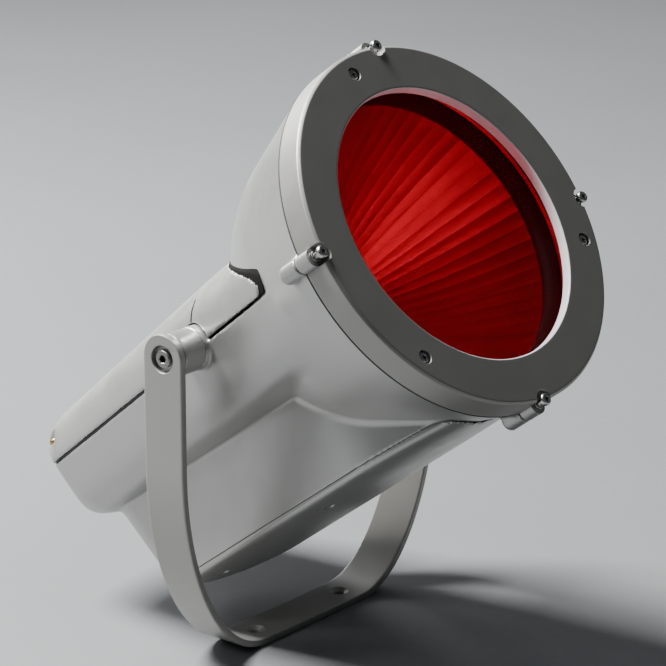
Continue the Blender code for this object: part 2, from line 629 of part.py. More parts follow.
fuse(bracket, block("foot", hp(-27.4, -45.5, -73.0), hp(27.4, -62.0, -70.6)))
finish(bracket, "steel", smooth=0.0)

# ---- control gear --------------------------------------------------------
finish(block("gear_tray", hp(-55.0, -64.0, -73.6), hp(55.0, -250.0, -72.2)), "steel", smooth=0.0)
core = block("ballast", hp(-66.0, -142.0, -71.6), hp(22.0, -260.0, -14.0))
fuse(core, block("coil", hp(-50.0, -134.0, -64.0), hp(6.0, -268.0, -22.0)))
finish(core, "steel", smooth=0.0)
finish(turned("ignitor", [(0.0, 150.0), (16.5, 150.0), (18.0, 151.5), (18.0, 232.0), (0.0, 232.0)], hp(58.0, 0.0, -53.6), (0.0, 1.0, 0.0), 20), "white_plastic")
finish(turned("capacitor", [(0.0, 74.0), (16.5, 74.0), (18.0, 75.5), (18.0, 140.0), (7.0, 143.0), (0.0, 144.0)], hp(58.0, 0.0, -53.6), (0.0, 1.0, 0.0), 20), "steel")
terminals = block("terminal_block", hp(-50.0, -80.0, -72.0), hp(2.0, -104.0, -54.0))
for i in range(5):
    x = -45.0 + 9.5 * i
    cut(terminals, drill(hp(x, -92.0, -58.0), hp(x, -92.0, -50.0), 2.4, 8))
finish(terminals, "white_plastic", smooth=0.0)
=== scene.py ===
import math

import bmesh
import bpy
import numpy as np
from mathutils import Matrix, Vector


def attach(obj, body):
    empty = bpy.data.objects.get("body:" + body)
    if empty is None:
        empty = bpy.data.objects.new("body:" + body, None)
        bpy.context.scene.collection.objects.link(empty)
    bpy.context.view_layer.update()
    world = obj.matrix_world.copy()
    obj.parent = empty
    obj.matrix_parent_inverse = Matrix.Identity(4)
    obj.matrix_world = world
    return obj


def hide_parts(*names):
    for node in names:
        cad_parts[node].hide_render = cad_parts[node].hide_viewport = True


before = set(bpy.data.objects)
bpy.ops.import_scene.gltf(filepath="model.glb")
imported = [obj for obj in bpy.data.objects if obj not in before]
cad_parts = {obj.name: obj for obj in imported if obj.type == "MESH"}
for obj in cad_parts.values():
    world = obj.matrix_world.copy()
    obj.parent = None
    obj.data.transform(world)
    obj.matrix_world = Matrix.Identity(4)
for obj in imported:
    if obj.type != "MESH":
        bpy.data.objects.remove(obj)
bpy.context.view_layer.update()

MM = 0.001
TILT = 37.0
PIVOT_Z = 311.0
AXIS_V = -16.0
SIDES = (("left", -1), ("right", 1))
CLAMP_R = 180.0
CLAMPS = (("left", 175.5), ("top", 84.5), ("right", 354.5), ("bottom", 267.5))
LUG_R, BOSS_R = 9.0, 20.5
SCREW_X, SCREW_U = 101.0, -272.0
FACE_SCREW_R = 162.0
FACE_SCREWS = (100.0, 220.0, 340.0)
POD_REAR = -292.0
KEEL_REAR = -259.0

# head pieces are drawn in (x, u, v): u forward along the beam, v up across it
HEAD = Matrix.Translation((0.0, 0.0, PIVOT_Z * MM)) @ Matrix.Rotation(math.radians(-TILT), 4, "X")
WORLD = Matrix.Identity(4)


# ---------------------------------------------------------------- camera
azimuth, elevation = math.radians(-50.4), math.radians(17.9)
back = Vector((math.sin(azimuth) * math.cos(elevation), -math.cos(azimuth) * math.cos(elevation), math.sin(elevation)))
right = Vector((math.cos(azimuth), math.sin(azimuth), 0.0))
up = back.cross(right)
camera_data = bpy.data.cameras.new("camera")
camera_data.lens = 189.2
camera_data.sensor_width = 36.0
camera_data.clip_end = 50.0
camera = bpy.data.objects.new("camera", camera_data)
bpy.context.scene.collection.objects.link(camera)
place = Matrix((right, up, back)).transposed().to_4x4()
place.translation = Vector((0.0, 0.0, 0.3115)) + right * 0.0344 - up * 0.0212 + back * 3.308
camera.matrix_world = place
bpy.context.scene.camera = camera


# ---------------------------------------------------------------- materials
class Graph:
    """Short calls for building one material's nodes."""

    def __init__(self, name):
        self.material = bpy.data.materials.new(name)
        self.material.use_nodes = True
        self.tree = self.material.node_tree
        self.tree.nodes.clear()
        self.output = self.tree.nodes.new("ShaderNodeOutputMaterial")
        self.coords = self.tree.nodes.new("ShaderNodeTexCoord").outputs["Object"]

    def put(self, socket, value):
        if isinstance(value, bpy.types.NodeSocket):
            self.tree.links.new(value, socket)
        elif isinstance(value, tuple) and len(value) == 3 and socket.type == "RGBA":
            socket.default_value = (*value, 1.0)
        else:
            socket.default_value = value

    def noise(self, scale, detail=3.0, rough=0.5, coords=None, stretch=None):
        node = self.tree.nodes.new("ShaderNodeTexNoise")
        source = coords or self.coords
        if stretch:
            mapping = self.tree.nodes.new("ShaderNodeMapping")
            mapping.vector_type = "TEXTURE"
            mapping.inputs["Rotation"].default_value = (math.radians(-TILT), 0.0, 0.0)
            mapping.inputs["Scale"].default_value = tuple(1.0 / c for c in stretch)
            self.tree.links.new(source, mapping.inputs["Vector"])
            source = mapping.outputs[0]
        self.tree.links.new(source, node.inputs["Vector"])
        node.inputs["Scale"].default_value = scale
        node.inputs["Detail"].default_value = detail
        node.inputs["Roughness"].default_value = rough
        return node.outputs["Fac"]

    def math(self, operation, a, b=0.0, clamp=False):
        node = self.tree.nodes.new("ShaderNodeMath")
        node.operation = operation
        node.use_clamp = clamp
        self.put(node.inputs[0], a)
        self.put(node.inputs[1], b)
        return node.outputs[0]

    def span(self, value, low, high, out_low=0.0, out_high=1.0):
        node = self.tree.nodes.new("ShaderNodeMapRange")
        self.put(node.inputs["Value"], value)
        for name, number in (("From Min", low), ("From Max", high), ("To Min", out_low), ("To Max", out_high)):
            node.inputs[name].default_value = number
        return node.outputs[0]

    def mix(self, share, a, b, blend="MIX"):
        node = self.tree.nodes.new("ShaderNodeMix")
        node.data_type = "RGBA"
        node.blend_type = blend
        self.put(node.inputs[0], share)
        self.put(node.inputs[6], a)
        self.put(node.inputs[7], b)
        return node.outputs[2]

    def painted(self, name, output="Fac"):
        node = self.tree.nodes.new("ShaderNodeAttribute")
        node.attribute_name = name
        return node.outputs[output]

    def bump(self, height, distance, strength=1.0, normal=None):
        node = self.tree.nodes.new("ShaderNodeBump")
        node.inputs["Strength"].default_value = strength
        node.inputs["Distance"].default_value = distance
        self.put(node.inputs["Height"], height)
        if normal:
            self.put(node.inputs["Normal"], normal)
        return node.outputs[0]

    def shader(self, **values):
        node = self.tree.nodes.new("ShaderNodeBsdfPrincipled")
        for name, value in values.items():
            self.put(node.inputs[name.replace("_", " ")], value)
        return node

    def finish(self, shader):
        self.tree.links.new(shader, self.output.inputs["Surface"])
        return self.material


def paint(name, colour, worn, rough=0.40, metal=0.35, grain=1.0, dirt_and_shade_tone=(0.30, 0.29, 0.27)):
    """Metallic paint on a casting: cloudy tone, fine flake, orange peel, worn edges, dirt and painted shade in corners.
    """
    g = Graph(name)
    cloud = g.noise(7.0, 4.0, 0.55)
    patch = g.noise(38.0, 5.0, 0.6)
    flake = g.noise(1500.0, 2.0, 0.6)
    peel = g.noise(420.0, 3.0, 0.55)
    tone = g.math("ADD", g.span(cloud, 0.3, 0.7, -0.05, 0.05), g.span(flake, 0.3, 0.7, -0.05, 0.05))
    tone = g.math("ADD", tone, g.span(patch, 0.3, 0.7, -0.03, 0.03))
    base = g.mix(g.math("ADD", tone, 0.5, True), tuple(c * 0.78 for c in colour), tuple(min(1.0, c * 1.22) for c in colour))
    # corners and creases darken towards a near-black tone: dirt and painted shade
    crease_dirt_and_shade = g.math("MULTIPLY", g.painted("crease_dirt_and_shade"), g.span(patch, 0.25, 0.6, 0.35, 1.0), True)
    base = g.mix(g.math("MULTIPLY", crease_dirt_and_shade, 0.70), base, tuple(c * 0.16 for c in dirt_and_shade_tone))
    chip = g.math("MULTIPLY", g.painted("wear"), g.span(g.noise(240.0, 5.0, 0.65), 0.48, 0.66), True)
    base = g.mix(g.math("MULTIPLY", chip, 0.38), base, worn)
    roughness = g.math("ADD", g.span(patch, 0.25, 0.75, rough - 0.05, rough + 0.07), g.math("MULTIPLY", crease_dirt_and_shade, 0.22))
    roughness = g.math("ADD", roughness, g.math("MULTIPLY", g.painted("wear"), 0.25))
    normal = g.bump(peel, 0.00012 * grain, 0.35)
    normal = g.bump(flake, 0.00003 * grain, 0.30, normal)
    node = g.shader(Base_Color=base, Roughness=roughness, Normal=normal, Metallic=metal)
    return g.finish(node.outputs[0])


def metal(name, colour, rough=0.28, streak=(1.0, 1.0, 1.0), scale=500.0, amount=0.00003, tint=0.12):
    """Bare metal with fine machining marks and slight stains."""
    g = Graph(name)
    marks = g.noise(scale, 4.0, 0.6, stretch=streak)
    stain = g.noise(45.0, 5.0, 0.6)
    base = g.mix(g.span(stain, 0.35, 0.75), colour, tuple(c * (1.0 - tint) for c in colour))
    # corners and creases darken: dirt and painted shade
    base = g.mix(g.math("MULTIPLY", g.painted("crease_dirt_and_shade"), 0.7), base, tuple(c * 0.22 for c in colour))
    roughness = g.math("ADD", g.span(marks, 0.3, 0.7, rough - 0.06, rough + 0.08), g.span(stain, 0.3, 0.8, 0.0, 0.06))
    node = g.shader(Base_Color=base, Roughness=roughness, Metallic=1.0, Normal=g.bump(marks, amount, 0.5))
    return g.finish(node.outputs[0])


def moulded(name, colour, rough=0.45, sheen=0.0, scale=600.0, amount=0.00004, spread=0.12, gloss=0.5):
    """Plastic, rubber or ceramic with a fine mould texture."""
    g = Graph(name)
    fine = g.noise(scale, 3.0, 0.6)
    cloud = g.noise(30.0, 4.0, 0.6)
    base = g.mix(g.span(cloud, 0.3, 0.7), tuple(c * (1.0 - spread) for c in colour), tuple(min(1.0, c * (1.0 + spread)) for c in colour))
    base = g.mix(g.math("MULTIPLY", g.painted("wear"), 0.25), base, tuple(min(1.0, c * 1.6 + 0.02) for c in colour))
    # corners and creases darken: dirt and painted shade
    base = g.mix(g.math("MULTIPLY", g.painted("crease_dirt_and_shade"), 0.5), base, tuple(c * 0.4 for c in colour))
    node = g.shader(Base_Color=base, Roughness=g.span(fine, 0.3, 0.7, rough - 0.05, rough + 0.08), Normal=g.bump(fine, amount, 0.5))
    node.inputs["Sheen Weight"].default_value = sheen
    node.inputs["Specular IOR Level"].default_value = gloss
    return g.finish(node.outputs[0])


def pane(name, tint, body, share_low, share_high, gloss=0.04):
    """Glass as a thin tinted sheet: clear see-through with a glossy skin."""
    g = Graph(name)
    smear = g.noise(14.0, 4.0, 0.6)
    speck = g.noise(900.0, 2.0, 0.7)
    clear = g.tree.nodes.new("ShaderNodeBsdfTransparent")
    clear.inputs["Color"].default_value = (*tint, 1.0)
    roughness = g.math("ADD", g.span(smear, 0.35, 0.8, gloss, gloss + 0.05), g.span(speck, 0.62, 0.72, 0.0, 0.10))
    node = g.shader(Base_Color=body, Roughness=roughness)
    share = g.span(smear, 0.3, 0.8, share_low, share_high)
    mixer = g.tree.nodes.new("ShaderNodeMixShader")
    g.put(mixer.inputs[0], share)
    g.tree.links.new(clear.outputs[0], mixer.inputs[1])
    g.tree.links.new(node.outputs[0], mixer.inputs[2])
    return g.finish(mixer.outputs[0])


def fan_reflector(name):
    """Bright anodised aluminium: streaks that fan out from the dish's middle."""
    g = Graph(name)
    fan = g.painted("fan", "Vector")
    wide = g.noise(1.0, 2.0, 0.5, coords=fan)
    thin = g.noise(3.2, 3.0, 0.6, coords=fan)
    streak = g.math("ADD", g.math("MULTIPLY", wide, 0.6), g.math("MULTIPLY", thin, 0.4))
    base = g.mix(g.span(streak, 0.36, 0.66), (0.58, 0.58, 0.59), (0.82, 0.82, 0.83))
    node = g.shader(Base_Color=base, Roughness=g.span(thin, 0.3, 0.7, 0.42, 0.52), Metallic=0.75, Normal=g.bump(streak, 0.0008, 0.4))
    return g.finish(node.outputs[0])


SILVER = (0.44, 0.44, 0.425)
look = {
    "housing": paint("housing_paint", SILVER, (0.70, 0.70, 0.68), rough=0.34, metal=0.65),
    # the housing's paint made darker: painted shade on the bezel, whose face lies out of the light
    "bezel": paint("bezel_paint", (0.33, 0.325, 0.305), (0.62, 0.61, 0.58), rough=0.40, metal=0.50),
    "yoke": paint("yoke_paint", (0.36, 0.355, 0.335), (0.66, 0.65, 0.62), rough=0.38, metal=0.45, grain=0.8),
    # near-white bluish colour for the aperture's inner wall: a painted highlight of the light it catches
    "lip": moulded("rim_painted_highlight", (0.86, 0.89, 0.94), 0.36, scale=900.0, spread=0.03),
    # near-black: painted shade on the reflector's cone and flange
    "shade": moulded("flange_painted_shade", (0.10, 0.10, 0.10), 0.55, scale=400.0),
    "bolt": metal("dull_bolt", (0.30, 0.295, 0.285), 0.42),
    "stainless": metal("stainless", (0.60, 0.59, 0.57), 0.26),
    "yellow_zinc": metal("yellow_zinc", (0.55, 0.34, 0.15), 0.32, tint=0.25),
    "steel": metal("zinc_steel", (0.52, 0.53, 0.54), 0.36, scale=260.0, tint=0.2),
    "laminations": metal("laminations", (0.20, 0.19, 0.18), 0.50, streak=(1.0, 60.0, 1.0), scale=40.0, amount=0.0002, tint=0.3),
    "copper": metal("coil_tape", (0.38, 0.16, 0.06), 0.42, streak=(1.0, 8.0, 30.0), scale=40.0, amount=0.0002, tint=0.3),
    "aluminium": metal("turned_aluminium", (0.66, 0.66, 0.66), 0.34, scale=700.0),
    "reflector": fan_reflector("bright_reflector"),
    "rubber": moulded("black_silicone", (0.022, 0.022, 0.023), 0.62, sheen=0.15, scale=300.0),
    "black": moulded("black_polyamide", (0.030, 0.030, 0.032), 0.42, scale=500.0),
    "white": moulded("white_plastic", (0.70, 0.69, 0.65), 0.45, scale=400.0, spread=0.06),
    "ceramic": moulded("glazed_ceramic", (0.74, 0.72, 0.67), 0.26, scale=150.0, amount=0.00006, spread=0.05),
    "fibre": moulded("friction_fibre", (0.075, 0.065, 0.055), 0.78, scale=500.0, amount=0.0002, spread=0.35),
    # near-black socket floor: painted shade at the bottom of sockets
    "hollow": moulded("socket_floor_painted_shade", (0.016, 0.016, 0.016), 0.70),
    # near-black strips: seals, with the shade of gaps and grooves painted in
    "seal_and_gap_shade": moulded("black_seal_and_painted_gap_shade", (0.008, 0.0075, 0.007), 0.85, scale=700.0, spread=0.3, gloss=0.12),
    "clear": pane("clear_glass", (0.97, 0.985, 0.98), (0.02, 0.02, 0.02), 0.035, 0.065),
    "red": pane("red_filter_glass", (0.71, 0.070, 0.115), (0.20, 0.006, 0.008), 0.06, 0.10, 0.10),
    "bulb": pane("lamp_envelope", (0.96, 0.96, 0.96), (0.4, 0.4, 0.4), 0.05, 0.08, 0.06),
}


# ---------------------------------------------------------------- mesh helpers
def to_object(name, verts, faces, kind, matrix, smooth=30.0, body=None, nodes=()):
    """A piece from points in millimetres, in the head's or the world's axes."""
    mesh = bpy.data.meshes.new(name)
    if isinstance(faces, np.ndarray):
        mesh.vertices.add(len(verts))
        mesh.vertices.foreach_set("co", (np.asarray(verts) * MM).astype(np.float32).ravel())
        mesh.loops.add(faces.size)
        mesh.loops.foreach_set("vertex_index", faces.astype(np.int32).ravel())
        mesh.polygons.add(len(faces))
        mesh.polygons.foreach_set("loop_start", np.arange(0, faces.size, faces.shape[1], dtype=np.int32))
        mesh.update(calc_edges=True)
        mesh.validate()
    else:
        mesh.from_pydata([tuple(c * MM for c in v) for v in verts], [], faces)
    mesh.transform(matrix)
    obj = bpy.data.objects.new(name, mesh)
    bpy.context.scene.collection.objects.link(obj)
    mesh.materials.append(look[kind])
    return settle(obj, smooth, body, nodes)


def settle(obj, smooth=30.0, body=None, nodes=()):
    mesh = obj.data
    if smooth:
        mesh.shade_smooth()
        mesh.set_sharp_from_angle(angle=math.radians(smooth))
    weather(mesh)
    if body:
        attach(obj, body)
    if nodes:
        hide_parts(*nodes)
    return obj


def weather(mesh, convex=140.0, concave=45.0):
    """Writes how sharply each point stands out (wear) or lies in a corner, where dirt and painted shade darken it."""
    n = len(mesh.vertices)
    co = np.zeros(n * 3)
    mesh.vertices.foreach_get("co", co)
    co = co.reshape(-1, 3)
    no = np.zeros(n * 3, np.float32)
    mesh.vertex_normals.foreach_get("vector", no)
    no = no.reshape(-1, 3)
    e = np.zeros(len(mesh.edges) * 2, np.int32)
    mesh.edges.foreach_get("vertices", e)
    e = e.reshape(-1, 2)
    d = co[e[:, 1]] - co[e[:, 0]]
    size = np.maximum((d * d).sum(1), 1e-9)
    bend = np.zeros(n)
    count = np.zeros(n)
    np.add.at(bend, e[:, 0], -(no[e[:, 0]] * d).sum(1) / size)
    np.add.at(bend, e[:, 1], (no[e[:, 1]] * d).sum(1) / size)
    np.add.at(count, e[:, 0], 1)
    np.add.at(count, e[:, 1], 1)
    count = np.maximum(count, 1)
    bend /= count

    def spread(value, times):
        for _ in range(times):
            total = np.zeros(n)
            np.add.at(total, e[:, 0], value[e[:, 1]])
            np.add.at(total, e[:, 1], value[e[:, 0]])
            value = 0.5 * value + 0.5 * total / count
        return value

    wear = np.clip((spread(bend, 1) - 0.7 * convex) / (convex * 2.4), 0.0, 1.0)
    # concave points: a mask for dirt and painted shade in corners and creases
    crease_dirt_and_shade = np.clip((-spread(bend, 1) - concave) / (concave * 3.0), 0.0, 1.0)
    crease_dirt_and_shade = np.clip(spread(crease_dirt_and_shade, 2) * 1.4, 0.0, 1.0)
    for name, value in (("wear", wear), ("crease_dirt_and_shade", crease_dirt_and_shade)):
        layer = mesh.attributes.new(name, "FLOAT", "POINT")
        layer.data.foreach_set("value", value.astype(np.float32))


def boolean(obj, other, operation="DIFFERENCE"):
    mod = obj.modifiers.new("b", "BOOLEAN")
    mod.operation = operation
    mod.solver = "EXACT"
    mod.object = other
    bpy.context.view_layer.update()
    done = bpy.data.meshes.new_from_object(obj.evaluated_get(bpy.context.evaluated_depsgraph_get()))
    obj.modifiers.remove(mod)
    obj.data = done
    bpy.data.objects.remove(other, do_unlink=True)
    return obj


def raw(name, verts, faces, matrix=WORLD):
    mesh = bpy.data.meshes.new(name)
    mesh.from_pydata([tuple(c * MM for c in v) for v in verts], [], faces)
    bm = bmesh.new()
    bm.from_mesh(mesh)
    bmesh.ops.recalc_face_normals(bm, faces=bm.faces)
    bm.to_mesh(mesh)
    bm.free()
    mesh.transform(matrix)
    obj = bpy.data.objects.new(name, mesh)
    bpy.context.scene.collection.objects.link(obj)
    return obj


def soften(profile, radius, steps=3, closed=True):
    """Rounds the corners of a (radius, along) profile."""
    out = []
    n = len(profile)
    for i in range(n):
        p = Vector(profile[i])
        if not closed and i in (0, n - 1):
            out.append(tuple(p))
            continue
        a, b = Vector(profile[i - 1]), Vector(profile[(i + 1) % n])
        da, db = a - p, b - p
        if da.length < 1e-6 or db.length < 1e-6 or abs(da.angle(db) - math.pi) < 0.12:
            out.append(tuple(p))
            continue
        cut = min(radius, da.length * 0.45, db.length * 0.45)
        start, end = p + da.normalized() * cut, p + db.normalized() * cut
        for k in range(steps + 1):
            t = k / steps
            out.append(tuple(start * (1 - t) ** 2 + p * 2 * t * (1 - t) + end * t ** 2))
    return out


def refine(profile, near=0.9, step=6.0):
    """Adds points beside each corner and along each flat, so that edge wear stays at the edge."""
    poles = profile[0][0] < 1e-6
    out = []
    for i, p in enumerate(profile):
        out.append(p)
        if poles and i == len(profile) - 1:
            break
        q = profile[(i + 1) % len(profile)]
        length = math.hypot(q[0] - p[0], q[1] - p[1])
        if length < 3.0:
            continue
        count = max(1, int(length / step))
        for t in [near / length] + [k / count for k in range(1, count)] + [1.0 - near / length]:
            out.append((p[0] + (q[0] - p[0]) * t, p[1] + (q[1] - p[1]) * t))
    return out


def lathe_data(profile, centre, axis, segments, phase=0.0):
    """Points and faces of a profile turned about an axis; closed, or open from pole to pole."""
    profile = refine(profile)
    axis = Vector(axis).normalized()
    side = Vector((1.0, 0.0, 0.0)) if abs(axis.x) < 0.5 else Vector((0.0, 1.0, 0.0))
    side = (side - axis * side.dot(axis)).normalized()
    other = axis.cross(side)
    centre = Vector(centre)
    poles = profile[0][0] < 1e-6
    verts, loops, faces = [], [], []
    for r, along in profile:
        if r < 1e-6:
            loops.append([len(verts)])
            verts.append(centre + axis * along)
            continue
        loop = []
        for i in range(segments):
            a = phase + 2.0 * math.pi * i / segments
            loop.append(len(verts))
            verts.append(centre + axis * along + side * (r * math.cos(a)) + other * (r * math.sin(a)))
        loops.append(loop)
    pairs = list(zip(loops, loops[1:])) + ([] if poles else [(loops[-1], loops[0])])
    for low, high in pairs:
        for i in range(segments):
            j = (i + 1) % segments
            if len(low) == 1 and len(high) == 1:
                continue
            if len(low) == 1:
                faces.append((low[0], high[j], high[i]))
            elif len(high) == 1:
                faces.append((low[i], low[j], high[0]))
            else:
                faces.append((low[i], low[j], high[j], high[i]))
    return verts, faces


def lathe(name, profile, centre, axis, segments=64, matrix=WORLD, phase=0.0):
    verts, faces = lathe_data(profile, centre, axis, segments, phase)
    return raw(name, verts, faces, matrix)


def give(obj, kind, body, nodes=(), smooth=30.0):
    obj.data.materials.clear()
    obj.data.materials.append(look[kind])
    for polygon in obj.data.polygons:
        polygon.material_index = 0
    return settle(obj, smooth, body, nodes)


def hp(x, u, v):
    return Vector((x, -u, v))


def ring_point(radius, degrees, u):
    a = math.radians(degrees)
    return (radius * math.cos(a), u, AXIS_V + radius * math.sin(a))


def clean(obj, dist=0.003):
    bm = bmesh.new()
    bm.from_mesh(obj.data)
    bmesh.ops.remove_doubles(bm, verts=bm.verts, dist=dist * MM)
    bmesh.ops.dissolve_degenerate(bm, edges=bm.edges, dist=dist * MM)
    bm.to_mesh(obj.data)
    bm.free()
    return obj


# ---------------------------------------------------------------- fields
# A cast piece is the surface where a field f(x, u, v) is zero. Its corners and
# fillets come from rounded maxima and minima of simpler fields.
def inner(a, b, r):
    """Both: the corner where a and b meet is rounded by r."""
    return np.minimum(-r, np.maximum(a, b)) + np.hypot(np.maximum(a + r, 0.0), np.maximum(b + r, 0.0))


def outer(a, b, r):
    """Either: the valley where a and b meet is filled by r."""
    return -inner(-a, -b, r)


def bell_r(u):
    return 154.4 + 0.293 * (u - 110.0) - 0.0036 * np.maximum(0.0, 110.0 - u) ** 2


def bell_slope(u):
    return 0.293 + 0.0072 * np.maximum(0.0, 110.0 - u)


def pod_half(u):
    return 144.0 + 0.118 * np.minimum(u, 122.0)


def seam_v(u):
    return -1.5 + 0.024 * u


def crown_v(u):
    return 67.0 + np.where(u < 0.0, 0.08, 0.036) * u


def bell_gap(x, u, v):
    """Distance outside the bell's skin."""
    u = np.clip(u, -14.0, 205.0)
    return (np.hypot(x, v - AXIS_V) - bell_r(u)) / np.sqrt(1.0 + bell_slope(u) ** 2)


def super_section(x, y, a, b, n):
    """Distance to the rounded box |x/a|^n + |y/b|^n = 1, y counted from its straight side."""
    y = np.maximum(y, 0.0)
    px, py = np.abs(x) / a, y / b
    total = px ** n + py ** n
    f = np.maximum(total, 1e-4) ** (1.0 / n)
    g = np.hypot(px ** (n - 1.0) / a, py ** (n - 1.0) / b) / f ** (n - 1.0)
    return (f - 1.0) / np.maximum(g, 0.5 / a)


def pod_low(x, u, v, inset=0.0):
    w = u - POD_REAR - inset
    seam = seam_v(u)
    d = super_section(x, seam - v, pod_half(u) - inset, seam + 81.0 - inset, 6.0)
    r = (26.0 - inset) + 20.0 * np.clip((seam - v) / 70.0, 0.0, 1.0)
    return inner(d, -w, r)


def pod_high(x, u, v, inset=0.0):
    w = u - POD_REAR - inset
    seam = seam_v(u)
    d = super_section(x, v - seam, pod_half(u) - inset, crown_v(u) - seam - inset, 2.2)
    r = (26.0 - inset) - 14.0 * np.clip((v - seam) / 66.0, 0.0, 1.0)
    return inner(d, -w, r)


def keel_w(u, v):
    s = 0.31 * (-85.0 - v)
    return (u - KEEL_REAR - s) / (1.0 + (8.0 - s) / 420.0)


def keel_side(x, u, v):
    w = keel_w(u, v)
    mid = KEEL_REAR + 20.0 + w
    half = 92.0 + 8.0 * np.clip((-80.0 - v) / 88.0, 0.0, 1.0) - 0.0022 * np.maximum(0.0, mid - 60.0) ** 2
    return np.abs(x) - half, w, half


def tube_x(u, v, radius):
    return np.hypot(u, v) - radius


def housing_field(x, u, v):
    seam = seam_v(u)
    bell = bell_gap(x, u, v)
    bell = inner(bell, 2.0 - u, 6.0)
    low = inner(np.maximum(pod_low(x, u, v), u - 148.0), v - (seam - 1.4), 1.2)
    side, w, _ = keel_side(x, u, v)
    keel = inner(side, -0.955 * w, 30.0)
    keel = inner(keel, -167.8 - v, 0.8)
    keel = np.maximum(np.maximum(keel, v + 62.0), w - 418.0)
    body = outer(low, keel, 4.0)
    valley = 2.0 + 3.5 * np.clip((seam - 6.0 - v) / 30.0, 0.0, 1.0)
    body = outer(bell, body, valley)
    boss = inner(tube_x(u, v, BOSS_R), np.abs(x) - 151.0, 1.5)
    boss = np.maximum(boss, 126.0 - np.abs(x))
    body = outer(body, boss, 4.0)
    for _, degrees in CLAMPS:
        a = math.radians(degrees)
        rad = x * math.cos(a) + (v - AXIS_V) * math.sin(a) - CLAMP_R
        tan = -x * math.sin(a) + (v - AXIS_V) * math.cos(a)
        barrel = inner(np.hypot(rad, tan) - LUG_R, 172.0 - u, 5.0)
        barrel = inner(barrel, u - 196.6, 1.0)
        web = inner(inner(np.abs(tan) - 5.2, 176.0 - u, 2.0), u - 190.5, 2.0)
        web = np.maximum(np.maximum(web, rad - 2.0), -14.0 - rad)
        body = outer(body, outer(barrel, web, 2.0), 5.0)
        body = np.maximum(body, -np.maximum(np.hypot(rad, tan) - 3.4, 182.0 - u))
    body = inner(body, u - 196.5, 0.8)
    # the hollow of the bell, then the trough
    reach = np.where(u > 180.5, 166.0, bell_r(u) - 4.0)
    reach = np.where(u > 194.5, 171.0, reach)
    hollow = np.hypot(x, v - AXIS_V) - reach
    hollow = inner(hollow / np.sqrt(1.0 + bell_slope(np.clip(u, -14.0, 205.0)) ** 2), 7.0 - u, 4.0)
    trough = pod_low(x, u, v, inset=5.0)
    trough = np.maximum(np.maximum(trough, v - seam - 9.0), u - 95.0)
    inside_boss = np.maximum(tube_x(u, v, 17.0), 126.0 - np.abs(x))
    body = inner(body, -hollow, 0.8)
    body = inner(body, -np.maximum(trough, -inside_boss), 1.2)
    column = np.hypot(np.abs(x) - SCREW_X, u - SCREW_U) - 9.0
    column = inner(np.maximum(column, -72.0 - v), v - (seam_v(SCREW_U) - 1.9), 0.8)
    column = np.maximum(column, pod_low(x, u, v, inset=0.6))
    body = outer(body, column, 2.0)
    body = np.maximum(body, -np.maximum(np.hypot(np.abs(x) - SCREW_X, u - SCREW_U) - 2.9, -34.0 - v))
    body = np.maximum(body, -np.maximum(tube_x(u, v, 5.35), 100.0 - np.abs(x)))
    return body


def cover_field(x, u, v):
    seam = seam_v(u)
    skin = pod_high(x, u, v)
    body = np.maximum(skin, -pod_high(x, u, v, inset=3.2))
    posts = np.hypot(np.abs(x) - SCREW_X, u - SCREW_U) - 11.0
    posts = np.maximum(np.maximum(posts, v - 34.0), pod_high(x, u, v, inset=0.4))
    body = outer(body, posts, 2.0)
    body = inner(body, seam + 1.5 - v, 0.9)
    room = 1.9 / np.sqrt(1.0 + bell_slope(np.clip(u, -14.0, 205.0)) ** 2) - bell_gap(x, u, v)
    body = inner(body, np.where(u > -60.0, room, -60.0), 1.4)
    corner = np.hypot(np.maximum(u - 114.0, 0.0), np.maximum(9.0 - v, 0.0)) - 7.0
    body = inner(body, np.where(u > 95.0, corner, -60.0), 0.9)
    body = inner(body, -np.maximum(tube_x(u, v, BOSS_R + 1.6), 90.0 - np.abs(x)), 1.0)
    scallop = np.maximum(np.hypot(np.abs(x) - 104.0, u + 275.0) - 10.0, 10.0 - v)
    body = inner(body, -scallop, 0.8)
    return np.maximum(body, 2.9 - np.hypot(np.abs(x) - SCREW_X, u - SCREW_U))


def seal_and_gap_shade_field(x, u, v):
    """A dark rubber strip on the bell round the cover's front edge: a seal, and painted shade of the gap there."""
    skin = pod_high(x, u, v)
    gap = bell_gap(x, u, v)
    strip = np.maximum(np.maximum(skin - 0.6, -skin - 5.0), np.maximum(gap - 1.5, -2.6 - gap))
    strip = np.maximum(strip, np.hypot(np.maximum(u - 114.0, 0.0), np.maximum(9.0 - v, 0.0)) - 10.0)
    return np.maximum(np.maximum(strip, seam_v(u) + 0.6 - v), u - 128.0)


def seam_and_groove_shade_field(x, u, v):
    """A narrow dark strip let into the cover, from the pivot boss up to the crown: the seam between the covers, with
    its groove's shade painted in.
    """
    skin = pod_high(x, u, v)
    strip = np.maximum(np.maximum(skin - 0.35, -skin - 2.6), np.abs(u - 4.4) - 1.3)
    return np.maximum(strip, np.abs(v - 32.0) - 9.5)


def pan_field(x, u, v):
    """The keel's bottom cover."""
    side, w, half = keel_side(x, u, v)
    bottom = super_section(x, -171.0 - v, half, 15.0, 2.1)
    body = np.where(v > -171.0, side, bottom)
    body = inner(body, -0.955 * w, 32.0)
    body = inner(body, v + 168.1, 0.8)
    body = np.maximum(body, 0.9 - bell_gap(x, u, v))
    for at in (-178.0, -14.0):
        sink = np.hypot(np.abs(x) - 70.0, u - at) - 4.9
        body = inner(body, -np.maximum(sink, v + 177.4), 0.5)
    return body


